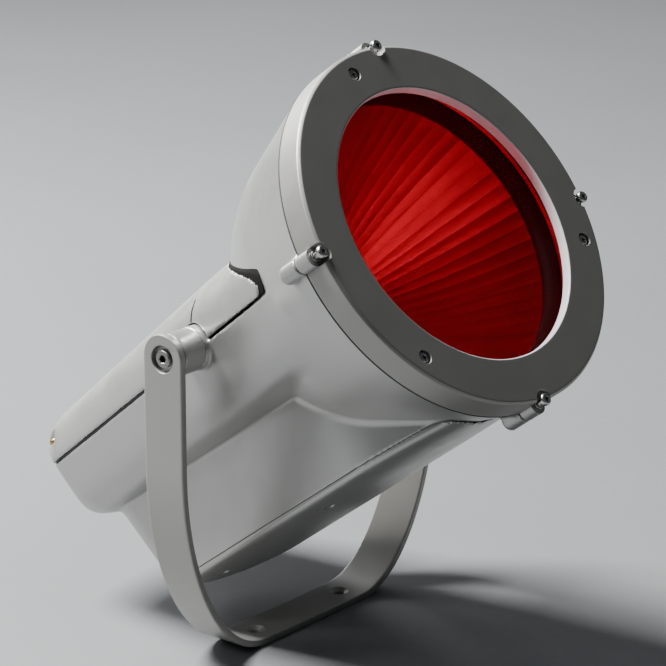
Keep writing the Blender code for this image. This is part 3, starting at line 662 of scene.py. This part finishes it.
def skin_of(field, low, high, step):
    """Points and quads on field = 0, by surface nets and then Newton steps."""
    axes = [np.arange(low[i], high[i] + step, step) for i in range(3)]
    nx, nu, nv = (len(a) for a in axes)
    uu, vv = axes[1][:, None], axes[2][None, :]
    grid = np.empty((nx, nu, nv), np.float32)
    for i, x in enumerate(axes[0]):
        grid[i] = np.broadcast_to(field(x, uu, vv), (nu, nv))
    inside = grid < 0
    count = np.zeros((nx - 1, nu - 1, nv - 1), np.int8)
    corners = [(i, j, k) for i in (0, 1) for j in (0, 1) for k in (0, 1)]
    for i, j, k in corners:
        count += inside[i:nx - 1 + i, j:nu - 1 + j, k:nv - 1 + k]
    active = (count > 0) & (count < 8)
    cells = np.argwhere(active)
    index = np.full(active.shape, -1, np.int32)
    index[active] = np.arange(len(cells))
    total = np.zeros((len(cells), 3))
    hits = np.zeros(len(cells))
    for axis in range(3):
        for c in corners:
            if c[axis]:
                continue
            a = cells + c
            b = a.copy()
            b[:, axis] += 1
            fa, fb = grid[a[:, 0], a[:, 1], a[:, 2]], grid[b[:, 0], b[:, 1], b[:, 2]]
            m = (fa < 0) != (fb < 0)
            p = a[m].astype(float)
            p[:, axis] += fa[m] / (fa[m] - fb[m])
            total[m] += p
            hits[m] += 1
    points = total / hits[:, None] * step + np.array([a[0] for a in axes])
    quads = []
    for axis in range(3):
        first, second = [k for k in range(3) if k != axis]
        a = np.take(inside, range(inside.shape[axis] - 1), axis)
        b = np.take(inside, range(1, inside.shape[axis]), axis)
        edges = np.argwhere(a != b)
        edges = edges[(edges[:, first] > 0) & (edges[:, second] > 0)]
        edges = edges[(edges[:, first] < inside.shape[first] - 1) & (edges[:, second] < inside.shape[second] - 1)]
        ring = []
        for df, ds in ((1, 1), (0, 1), (0, 0), (1, 0)):
            c = edges.copy()
            c[:, first] -= df
            c[:, second] -= ds
            ring.append(index[c[:, 0], c[:, 1], c[:, 2]])
        quad = np.stack(ring, 1)
        leaving = inside[edges[:, 0], edges[:, 1], edges[:, 2]]
        turn = leaving if axis != 1 else ~leaving
        quad[~turn] = quad[~turn][:, ::-1]
        quads.append(quad)
    quads = np.concatenate(quads)
    for _ in range(4):
        g = slope_of(field, points)
        f = field(points[:, 0], points[:, 1], points[:, 2])
        size = np.maximum((g * g).sum(1), 0.05)
        move = -(f / size)[:, None] * g
        length = np.linalg.norm(move, axis=1)
        move *= np.minimum(1.0, step * 0.4 / np.maximum(length, 1e-9))[:, None]
        points = points + move
    return points, quads


def slope_of(field, p, h=0.06):
    out = np.empty_like(p)
    for k in range(3):
        a, b = p.copy(), p.copy()
        a[:, k] += h
        b[:, k] -= h
        out[:, k] = (field(a[:, 0], a[:, 1], a[:, 2]) - field(b[:, 0], b[:, 1], b[:, 2])) / (2.0 * h)
    return out


def cast(name, field, low, high, step, kind, body, nodes):
    points, quads = skin_of(field, low, high, step)
    points[:, 1] *= -1.0
    return to_object(name, points, quads[:, ::-1].copy(), kind, HEAD, smooth=38.0, body=body, nodes=nodes)


STEP = 1.7
casting = cast("body_casting", housing_field, (-193.0, -295.0, -208.0), (193.0, 200.0, 177.0), STEP, "housing", "head", ("housing",))
at = np.zeros(len(casting.data.vertices) * 3, np.float32)
casting.data.vertices.foreach_get("co", at)
forward = (at.reshape(-1, 3) - np.array([0.0, 0.0, PIVOT_Z * MM])) @ np.array([0.0, -math.cos(math.radians(TILT)), math.sin(math.radians(TILT))])
worn = np.zeros(len(forward), np.float32)
casting.data.attributes["wear"].data.foreach_get("value", worn)
casting.data.attributes["wear"].data.foreach_set("value", np.where(forward > 0.1935, 0.0, worn).astype(np.float32))
cast("gear_cover", cover_field, (-163.0, -295.0, -12.0), (163.0, 126.0, 76.0), STEP, "housing", "cover", ("top_cover",))
# dark strip round the cover's front edge: seal and painted gap shade
cast("cover_seal_and_gap_shade", seal_and_gap_shade_field, (-163.0, -6.0, -2.0), (163.0, 131.0, 76.0), STEP * 0.6, "seal_and_gap_shade", "head", ())
for tag, low, high in (("left", -152.0, -60.0), ("right", 60.0, 152.0)):
    # dark strips in the cover's seam: painted groove shade
    cast("seam_and_groove_shade_strip_" + tag, seam_and_groove_shade_field, (low, 1.5, 19.0), (high, 7.5, 57.0), 0.8, "seal_and_gap_shade", "cover", ())
cast("keel_pan", pan_field, (-106.0, -262.0, -190.0), (106.0, 172.0, -166.0), 1.5, "housing", "head", ("bottom_cover",))

# ---------------------------------------------------------------- yoke
YOKE_X, YOKE_T, YOKE_W, YOKE_FLAT, YOKE_RISE, BASE_HOLE_X = 189.0, 7.0, 46.0, 72.0, 206.0, 63.0


def strap():
    """The bent strap as a loft of rounded oblong sections."""
    half = []
    edge = 1.3
    top = PIVOT_Z + YOKE_W / 2
    for degrees in list(np.linspace(89.4, 70.0, 9)) + list(np.linspace(66.0, 0.0, 23)):
        a = math.radians(degrees)
        half.append((YOKE_X, PIVOT_Z + YOKE_W / 2 * math.sin(a), 1.0, 0.0, YOKE_W / 2 * math.cos(a)))
    for z in np.linspace(PIVOT_Z - 8.0, YOKE_RISE, 12):
        half.append((YOKE_X, z, 1.0, 0.0, YOKE_W / 2))
    span = YOKE_X - YOKE_FLAT
    for i in range(1, 57):
        a = math.pi / 2 * i / 56
        nx, nz = math.cos(a) / span, -math.sin(a) / YOKE_RISE
        size = math.hypot(nx, nz)
        half.append((YOKE_FLAT + span * math.cos(a), YOKE_RISE - YOKE_RISE * math.sin(a), nx / size, nz / size, YOKE_W / 2))
    for x in np.linspace(YOKE_FLAT - 8.0, 0.0, 9)[:-1]:
        half.append((x, 0.0, 0.0, -1.0, YOKE_W / 2))
    path = [(-x, z, -nx, nz, w) for x, z, nx, nz, w in half] + [(0.0, 0.0, 0.0, -1.0, YOKE_W / 2)] + list(reversed(half))
    verts, loops, faces = [], [], []
    for x, z, nx, nz, w in path:
        e = min(edge, w * 0.45)
        thin = min(1.0, 0.35 + (top - z) / 0.9) if z > top - 0.6 else 1.0
        mid = YOKE_T / 2
        section = []
        for cy, cd, start in ((w - e, mid * thin - e, 0.0), (-(w - e), mid * thin - e, 90.0), (-(w - e), -(mid * thin - e), 180.0), (w - e, -(mid * thin - e), 270.0)):
            for k in range(4):
                t = math.radians(start + 30.0 * k)
                section.append((cy + e * math.cos(t), cd + e * math.sin(t)))
        loop = []
        dense = []
        for k, (y, d) in enumerate(section):
            dense.append((y, d))
            if k % 4 == 3:
                qy, qd = section[(k + 1) % 16]
                shares = (0.03, 0.10, 0.24, 0.38, 0.50, 0.62, 0.76, 0.90, 0.97) if k % 8 == 3 else (0.2, 0.5, 0.8)
                dense += [(y + (qy - y) * t, d + (qd - d) * t) for t in shares]
        for y, d in dense:
            depth = mid - d
            loop.append(len(verts))
            verts.append((x - nx * depth, y, z - nz * depth))
        loops.append(loop)
    for a, b in zip(loops, loops[1:]):
        for i in range(len(a)):
            j = (i + 1) % len(a)
            faces.append((a[i], a[j], b[j], b[i]))
    faces.append(tuple(loops[0]))
    faces.append(tuple(loops[-1]))
    return raw("stand_strap", verts, faces)


stand = strap()
for side in (-1, 1):
    axis = (side, 0.0, 0.0)
    centre = (0.0, 0.0, PIVOT_Z)
    o = YOKE_X
    boolean(stand, lathe("c", [(0.0, o - 12.0), (5.35, o - 12.0), (5.35, o - 4.6), (12.5, o - 4.6), (13.0, o - 4.2), (13.0, o - 0.5), (13.8, o + 0.3), (13.8, o + 4.0), (0.0, o + 4.0)], centre, axis, 56, phase=0.013))
    boolean(stand, lathe("c", [(0.0, -4.0), (6.2, -4.0), (5.6, 0.5), (5.6, 3.4), (9.9, 7.1), (10.4, 7.8), (10.4, 12.0), (0.0, 12.0)], (side * BASE_HOLE_X, 0.0, 0.0), (0.0, 0.0, 1.0), 48, phase=0.017))
give(stand, "yoke", "stand", ("yoke",))

# ---------------------------------------------------------------- bolts, spacers
PIVOT = (0.0, 0.0, PIVOT_Z)


def socket(radius, low, high, centre, axis, matrix, flare=0.5):
    """A hexagon socket's cutter with a chamfered mouth."""
    profile = [(0.0, low), (radius, low), (radius, high - flare), (radius + flare * 1.6, high + flare * 0.6), (radius + flare * 1.6, high + 3.0), (0.0, high + 3.0)]
    return lathe("c", profile, centre, axis, 6, matrix, phase=0.1)


for tag, side in SIDES:
    profile = soften([(0.0, 188.6), (7.5, 188.6), (8.5, 187.6), (8.5, 184.9), (5.0, 184.9), (5.0, 112.0), (4.0, 111.0), (0.0, 111.0)], 0.4, 2, False)
    bolt = lathe("socket_bolt_" + tag, profile, PIVOT, (side, 0.0, 0.0), 64)
    boolean(bolt, socket(3.9, 184.6, 188.5, PIVOT, (side, 0.0, 0.0), WORLD))
    clean(bolt)
    give(bolt, "bolt", "pivot_bolt_" + tag, ("pivot_bolt_" + tag,))
    # the socket's floor gets the near-black painted shade
    bolt.data.materials.append(look["hollow"])
    for polygon in bolt.data.polygons:
        c = polygon.center / MM
        if abs(c.x) < 187.6 and abs(c.x) > 184.0 and math.hypot(c.y, c.z - PIVOT_Z) < 4.2:
            polygon.material_index = 1
    profile = soften([(5.4, 151.3), (19.8, 151.3), (BOSS_R, 152.1), (BOSS_R, 175.0), (19.8, 178.0), (18.4, 178.7), (5.4, 178.7)], 0.8, 3)
    spacer = lathe("pivot_boss_" + tag, profile, (0.0, 0.0, 0.0), (side, 0.0, 0.0), 96, HEAD)
    give(spacer, "housing", "head", ("pivot_spacer_" + tag,))

# ---------------------------------------------------------------- bezel
BEAM = (0.0, -1.0, 0.0)
AXIS = (0.0, 0.0, AXIS_V)
profile = soften([
    (180.0, 197.3), (180.0, 222.6), (177.6, 225.0), (136.6, 225.0), (135.5, 223.9), (135.5, 215.0), (168.0, 215.0), (168.0, 197.3),
], 0.7, 3)
ring = lathe("bezel", profile, AXIS, BEAM, 288, HEAD)
for _, degrees in CLAMPS:
    x, u, v = ring_point(CLAMP_R, degrees, 0.0)
    boss = lathe("c", soften([(0.0, 197.9), (LUG_R, 197.9), (LUG_R, 214.6), (0.0, 214.6)], 0.6, 2, False), (x, 0.0, v), BEAM, 40, HEAD, phase=0.11)
    boolean(ring, boss, "UNION")
    boolean(ring, lathe("c", [(0.0, 214.0), (9.5, 214.0), (9.5, 224.3), (10.6, 225.4), (10.6, 240.0), (0.0, 240.0)], (x, 0.0, v), BEAM, 44, HEAD, phase=0.06))
    boolean(ring, lathe("c", [(0.0, 190.0), (3.4, 190.0), (3.4, 220.0), (0.0, 220.0)], (x, 0.0, v), BEAM, 24, HEAD, phase=0.03))
for degrees in FACE_SCREWS:
    x, u, v = ring_point(FACE_SCREW_R, degrees, 0.0)
    boolean(ring, lathe("c", [(0.0, 220.0), (6.6, 220.0), (6.6, 224.4), (7.4, 225.3), (7.4, 240.0), (0.0, 240.0)], (x, 0.0, v), BEAM, 40, HEAD, phase=0.06))
clean(ring)
give(ring, "bezel", "bezel", ("bezel_ring",))
ring.data.materials.append(look["lip"])
ring.data.materials.append(look["housing"])
back_to_head = HEAD.inverted()
for polygon in ring.data.polygons:
    c = back_to_head @ polygon.center / MM
    radius = math.hypot(c.x, c.z - AXIS_V)
    # the aperture's inner wall takes the painted highlight colour
    if radius < 136.4 and -c.y > 215.3:
        polygon.material_index = 1
    elif radius > 180.3:
        polygon.material_index = 2

# the seal between bell and bezel, seen as a dark line in their joint
profile = [(176.0, 196.0), (180.15, 196.0), (180.15, 197.2), (176.0, 197.2)]
give(lathe("joint_seal", profile, AXIS, BEAM, 288, HEAD), "rubber", "head")
profile = soften([(0.0, 207.4), (155.0, 207.4), (156.0, 208.4), (156.0, 211.4), (155.0, 212.4), (0.0, 212.4)], 0.5, 2, False)
give(lathe("clear_front_glass", profile, AXIS, BEAM, 160, HEAD), "clear", "bezel", ("front_glass",))
profile = soften([(0.0, 203.5), (155.4, 203.5), (155.4, 207.1), (0.0, 207.1)], 0.4, 2, False)
give(lathe("red_colour_filter", profile, AXIS, BEAM, 160, HEAD), "red", "bezel", ("red_filter",))

for number, degrees in enumerate(FACE_SCREWS, 1):
    x, u, v = ring_point(FACE_SCREW_R, degrees, 0.0)
    profile = soften([(0.0, 199.4), (2.6, 199.4), (2.6, 220.3), (5.4, 220.3), (5.4, 222.4), (4.2, 223.8), (0.0, 223.8)], 0.5, 3, False)
    screw = lathe("lens_screw_%d" % number, profile, (x, 0.0, v), BEAM, 40, HEAD)
    boolean(screw, socket(2.1, 221.4, 223.7, (x, 0.0, v), BEAM, HEAD, 0.25))
    give(clean(screw), "stainless", "bezel", ("face_screw_%d" % number,))
for tag, degrees in CLAMPS:
    x, u, v = ring_point(CLAMP_R, degrees, 0.0)
    profile = soften([
        (0.0, 183.5), (3.0, 183.5), (3.0, 214.6), (5.0, 214.6), (5.0, 216.4), (3.2, 216.4), (3.2, 222.0),
        (5.2, 222.4), (5.7, 223.2), (5.7, 226.0), (4.6, 227.4), (0.0, 227.4)], 0.5, 3, False)
    screw = lathe("captive_screw_" + tag, profile, (x, 0.0, v), BEAM, 48, HEAD)
    boolean(screw, socket(2.4, 224.8, 227.3, (x, 0.0, v), BEAM, HEAD, 0.25))
    give(clean(screw), "stainless", "clamp_screw_" + tag, ("clamp_screw_" + tag,))

for tag, side in SIDES:
    centre = hp(side * SCREW_X, SCREW_U, 0.0)
    profile = soften([(0.0, -30.0), (2.6, -30.0), (2.6, 10.3), (5.0, 10.3), (5.0, 13.4), (3.9, 14.6), (0.0, 14.6)], 0.5, 3, False)
    screw = lathe("slotted_screw_" + tag, profile, centre, (0.0, 0.0, 1.0), 40, HEAD)
    slot = [(sx, sy, sz) for sx in (-6.0, 6.0) for sy in (-0.6, 0.6) for sz in (13.0, 17.0)]
    slot = [(centre[0] + sx, centre[1] + sy, sz) for sx, sy, sz in slot]
    boolean(screw, raw("c", slot, [(0, 1, 3, 2), (4, 6, 7, 5), (0, 4, 5, 1), (2, 3, 7, 6), (0, 2, 6, 4), (1, 5, 7, 3)], HEAD))
    give(clean(screw), "yellow_zinc", "cover", ("cover_screw_" + tag,))
    for end, u in (("rear", -178.0), ("front", -14.0)):
        centre = hp(side * 70.0, u, 0.0)
        profile = soften([(0.0, -181.2), (3.4, -181.2), (4.5, -180.2), (4.5, -177.4), (2.3, -177.4), (2.3, -142.0), (0.0, -142.0)], 0.4, 2, False)
        screw = lathe("pan_screw_%s_%s" % (end, tag), profile, centre, (0.0, 0.0, 1.0), 40, HEAD)
        boolean(screw, lathe("c", [(0.0, -184.0), (2.0, -184.0), (2.0, -179.0), (0.0, -179.0)], centre, (0.0, 0.0, 1.0), 6, HEAD, phase=0.1))
        name = "bottom_screw_%s_%s" % (end, tag)
        give(clean(screw), "stainless", "head", (name,))

# ---------------------------------------------------------------- gland and breather
REAR_V = -122.0
lean = math.atan(0.31)
rear_out = Vector((0.0, math.cos(lean), -math.sin(lean)))


def rear_point(x):
    return hp(x, KEEL_REAR + 0.31 * (-85.0 - REAR_V), REAR_V)


profile = [(5.5, -9.0), (9.9, -9.0), (9.9, 0.8), (14.5, 0.8), (14.5, 6.0), (12.6, 6.4), (12.6, 14.0), (11.6, 17.6), (9.6, 20.2), (8.0, 21.0), (5.5, 21.0)]
verts, faces = lathe_data(soften(profile, 0.5, 2), rear_point(-24.0), rear_out, 96)
centre, side_axis = rear_point(-24.0), Vector((1.0, 0.0, 0.0))
other_axis = rear_out.cross(side_axis)
for i, p in enumerate(verts):
    q = p - centre
    along = q.dot(rear_out)
    radial = q - rear_out * along
    angle = math.atan2(radial.dot(other_axis), radial.dot(side_axis))
    if 0.6 < along < 6.3 and radial.length > 13.0:      # hexagonal flange
        flat = 14.5 * math.cos(math.pi / 6) / math.cos((angle + math.pi / 6) % (math.pi / 3) - math.pi / 6)
        radial *= min(1.0, flat / 14.5)
    elif 6.3 < along < 15.0 and radial.length > 12.0:   # ribbed cap
        radial *= 1.0 - 0.035 * max(0.0, math.cos(24.0 * angle))
    verts[i] = centre + rear_out * along + radial
give(raw("cord_gland", verts, faces, HEAD), "black", "head", ("cable_gland",))
profile = soften([(0.0, -8.0), (4.0, -8.0), (4.0, 0.5), (7.5, 0.5), (7.5, 3.2), (5.5, 5.0), (2.0, 5.2), (1.6, 4.4), (0.0, 4.4)], 0.4, 2, False)
give(lathe("breather", profile, rear_point(26.0), rear_out, 48, HEAD), "black", "head", ("breather_plug",))


# ---------------------------------------------------------------- optics
def dish_r(u):
    return math.sqrt(121.0 * (u - 20.0))


def dish():
    """Fluted reflector: flat facets in rows from the middle to the rim, then a cone and flange coloured near-black as
    painted shade.
    """
    flutes, rows = 60, 12
    n = flutes * 2
    levels = [24.0 + (182.0 - 24.0) * (k / rows) ** 1.35 for k in range(rows + 1)]
    inside = [(dish_r(u) - (0.007 * dish_r(u) if odd else 0.0), u) for u in levels for odd in (0, 1)]
    rim = [(140.6, 182.6), (151.4, 193.8), (152.4, 194.4), (165.2, 194.4), (165.6, 194.0), (165.6, 193.2), (165.2, 192.8), (152.9, 192.8)]
    rim += [(dish_r(u) + 1.7, u - 0.6) for u in reversed(levels)]
    loops, verts, faces, fan = [], [], [], []
    for row in [inside[k * 2:k * 2 + 2] for k in range(rows + 1)] + [[p, p] for p in rim]:
        loop = []
        for i in range(n):
            a = math.pi * i / flutes
            r, u = row[i % 2]
            loop.append(len(verts))
            verts.append(hp(r * math.cos(a), u, AXIS_V + r * math.sin(a)))
            fan.append((9.0 * math.cos(a), 9.0 * math.sin(a), u * 0.006))
        loops.append(loop)
    for low, high in zip(loops, loops[1:] + loops[:1]):
        for i in range(n):
            j = (i + 1) % n
            faces.append((low[i], low[j], high[j], high[i]))
    obj = raw("facet_reflector", verts, faces, HEAD)
    layer = obj.data.attributes.new("fan", "FLOAT_VECTOR", "POINT")
    layer.data.foreach_set("vector", np.array(fan, np.float32).ravel())
    return obj, (rows + 1) * n, (rows + 7) * n


reflector, first_dark, last_dark = dish()
give(reflector, "reflector", "head", ("reflector",), smooth=12.0)
# cone and flange round the mouth: near-black painted shade
reflector.data.materials.append(look["shade"])
for index in range(first_dark, last_dark):
    reflector.data.polygons[index].material_index = 1

profile = soften([(0.0, -31.0), (9.0, -31.0), (19.5, -26.0), (19.5, 12.0), (14.0, 15.4), (0.0, 15.4)], 0.8, 3, False)
cap_data = lathe_data(profile, AXIS, BEAM, 48)
give(raw("lamp_cap", *cap_data, HEAD), "steel", "head")
profile = soften([(0.0, 16.0), (14.0, 16.0), (14.0, 24.0), (16.0, 32.0), (17.0, 42.0), (17.0, 84.0), (15.0, 94.0), (8.0, 101.0), (0.0, 103.0)], 4.0, 4, False)
bulb = give(lathe("lamp_envelope", profile, AXIS, BEAM, 64, HEAD), "bulb", "head", ("lamp",))
profile = soften([(0.0, 52.0), (3.5, 52.0), (5.0, 55.0), (5.0, 76.0), (3.5, 79.0), (0.0, 79.0)], 1.2, 3, False)
give(lathe("arc_tube", profile, AXIS, BEAM, 32, HEAD), "ceramic", "head")

profile = soften([(0.0, -44.0), (24.0, -44.0), (26.0, -42.0), (26.0, -6.0), (24.0, -4.0), (20.2, -4.0), (20.2, -32.5), (0.0, -32.5)], 0.8, 3, False)
give(lathe("ceramic_lampholder", profile, AXIS, BEAM, 64, HEAD), "ceramic", "head", ("lampholder",))


# ---------------------------------------------------------------- control gear
def rounded_box(name, low, high, radius, steps=2):
    bm = bmesh.new()
    bmesh.ops.create_cube(bm, size=1.0)
    low, high = Vector(low) * MM, Vector(high) * MM
    for vert in bm.verts:
        vert.co = Vector([low[i] + (vert.co[i] + 0.5) * (high[i] - low[i]) for i in range(3)])
    bmesh.ops.bevel(bm, geom=list(bm.edges), offset=radius * MM, segments=steps, profile=0.6, affect="EDGES")
    mesh = bpy.data.meshes.new(name)
    bm.to_mesh(mesh)
    bm.free()
    mesh.transform(HEAD)
    obj = bpy.data.objects.new(name, mesh)
    bpy.context.scene.collection.objects.link(obj)
    return obj


core = rounded_box("choke_core", hp(-66.0, -142.0, -71.6), hp(22.0, -260.0, -14.0), 1.2)
give(core, "laminations", "head", ("ballast",))
coil = rounded_box("choke_coil", hp(-50.0, -134.0, -64.0), hp(6.0, -268.0, -22.0), 5.0, 4)
give(coil, "copper", "head")
profile = soften([(0.0, 150.0), (16.5, 150.0), (18.0, 151.5), (18.0, 230.5), (16.5, 232.0), (0.0, 232.0)], 1.0, 3, False)
give(lathe("ignitor_can", profile, hp(58.0, 0.0, -53.6), (0.0, 1.0, 0.0), 48, HEAD), "white", "head", ("ignitor",))
profile = soften([(0.0, 74.0), (16.5, 74.0), (18.0, 75.5), (18.0, 138.0), (17.2, 138.6), (17.2, 140.0), (7.0, 141.6), (7.0, 143.6), (0.0, 144.0)], 0.7, 2, False)
give(lathe("capacitor_can", profile, hp(58.0, 0.0, -53.6), (0.0, 1.0, 0.0), 48, HEAD), "aluminium", "head", ("capacitor",))
block = rounded_box("terminals", hp(-50.0, -80.0, -72.0), hp(2.0, -104.0, -54.0), 0.8)
for i in range(5):
    x = -45.0 + 9.5 * i
    boolean(block, lathe("c", [(0.0, -4.0), (2.4, -4.0), (2.4, 4.0), (3.0, 4.8), (3.0, 9.0), (0.0, 9.0)], hp(x, -92.0, -58.0), (0.0, 0.0, 1.0), 24, HEAD))
give(block, "white", "head", ("terminal_block",))

# ---------------------------------------------------------------- carried-over nodes
for name, kind in (
    ("friction_washer_left", "fibre"), ("friction_washer_right", "fibre"), ("pivot_nut_left", "steel"), ("pivot_nut_right", "steel"),
    ("cover_gasket", "rubber"), ("front_gasket", "rubber"), ("rim_gasket", "rubber"), ("retaining_ring", "aluminium"),
    ("lamp_bracket", "steel"), ("gear_tray", "steel"),
):
    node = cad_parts[name]
    node.data.materials.clear()
    node.data.materials.append(look[kind])


# ---------------------------------------------------------------- studio
def stage_material():
    g = Graph("studio_floor")
    cloud = g.noise(0.9, 3.0, 0.5)
    fine = g.noise(90.0, 3.0, 0.6)
    base = g.mix(g.span(cloud, 0.3, 0.7), (0.155, 0.160, 0.166), (0.178, 0.184, 0.190))
    node = g.shader(Base_Color=base, Roughness=g.span(fine, 0.3, 0.7, 0.62, 0.72))
    return g.finish(node.outputs[0])


mesh = bpy.data.meshes.new("floor")
mesh.from_pydata([(-40.0, -40.0, 0.0), (40.0, -40.0, 0.0), (40.0, 40.0, 0.0), (-40.0, 40.0, 0.0)], [], [(0, 1, 2, 3)])
floor = bpy.data.objects.new("floor", mesh)
bpy.context.scene.collection.objects.link(floor)
mesh.materials.append(stage_material())

world = bpy.data.worlds.new("studio")
world.use_nodes = True
world.node_tree.nodes["Background"].inputs["Color"].default_value = (0.80, 0.86, 0.95, 1.0)
world.node_tree.nodes["Background"].inputs["Strength"].default_value = 0.07
bpy.context.scene.world = world


def area(name, toward, distance, size, watts, colour=(1.0, 1.0, 1.0), aim=(0.0, -0.02, 0.30)):
    data = bpy.data.lights.new(name, "AREA")
    data.shape = "RECTANGLE"
    data.size, data.size_y = size
    data.energy = watts
    data.color = colour
    lamp = bpy.data.objects.new(name, data)
    bpy.context.scene.collection.objects.link(lamp)
    toward = Vector(toward).normalized()
    lamp.location = Vector(aim) + toward * distance
    lamp.rotation_euler = toward.to_track_quat("Z", "Y").to_euler()
    return lamp


area("key", (-0.15, 0.54, 0.82), 3.6, (1.3, 1.3), 690.0, (1.0, 0.995, 0.98))
area("back", (0.30, 0.88, 0.36), 2.4, (1.3, 0.7), 26.0, (0.97, 0.985, 1.0))
area("rim", (-0.74, 0.40, 0.54), 2.6, (0.5, 0.5), 10.0, (0.92, 0.96, 1.0))

glow_data = bpy.data.lights.new("glow", "POINT")
glow_data.energy = 0.55
glow_data.shadow_soft_size = 0.010
glow = bpy.data.objects.new("glow", glow_data)
bpy.context.scene.collection.objects.link(glow)
glow.location = HEAD @ (hp(-60.0, 150.0, AXIS_V - 60.0) * MM)
glow.visible_camera = False
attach(glow, "head")
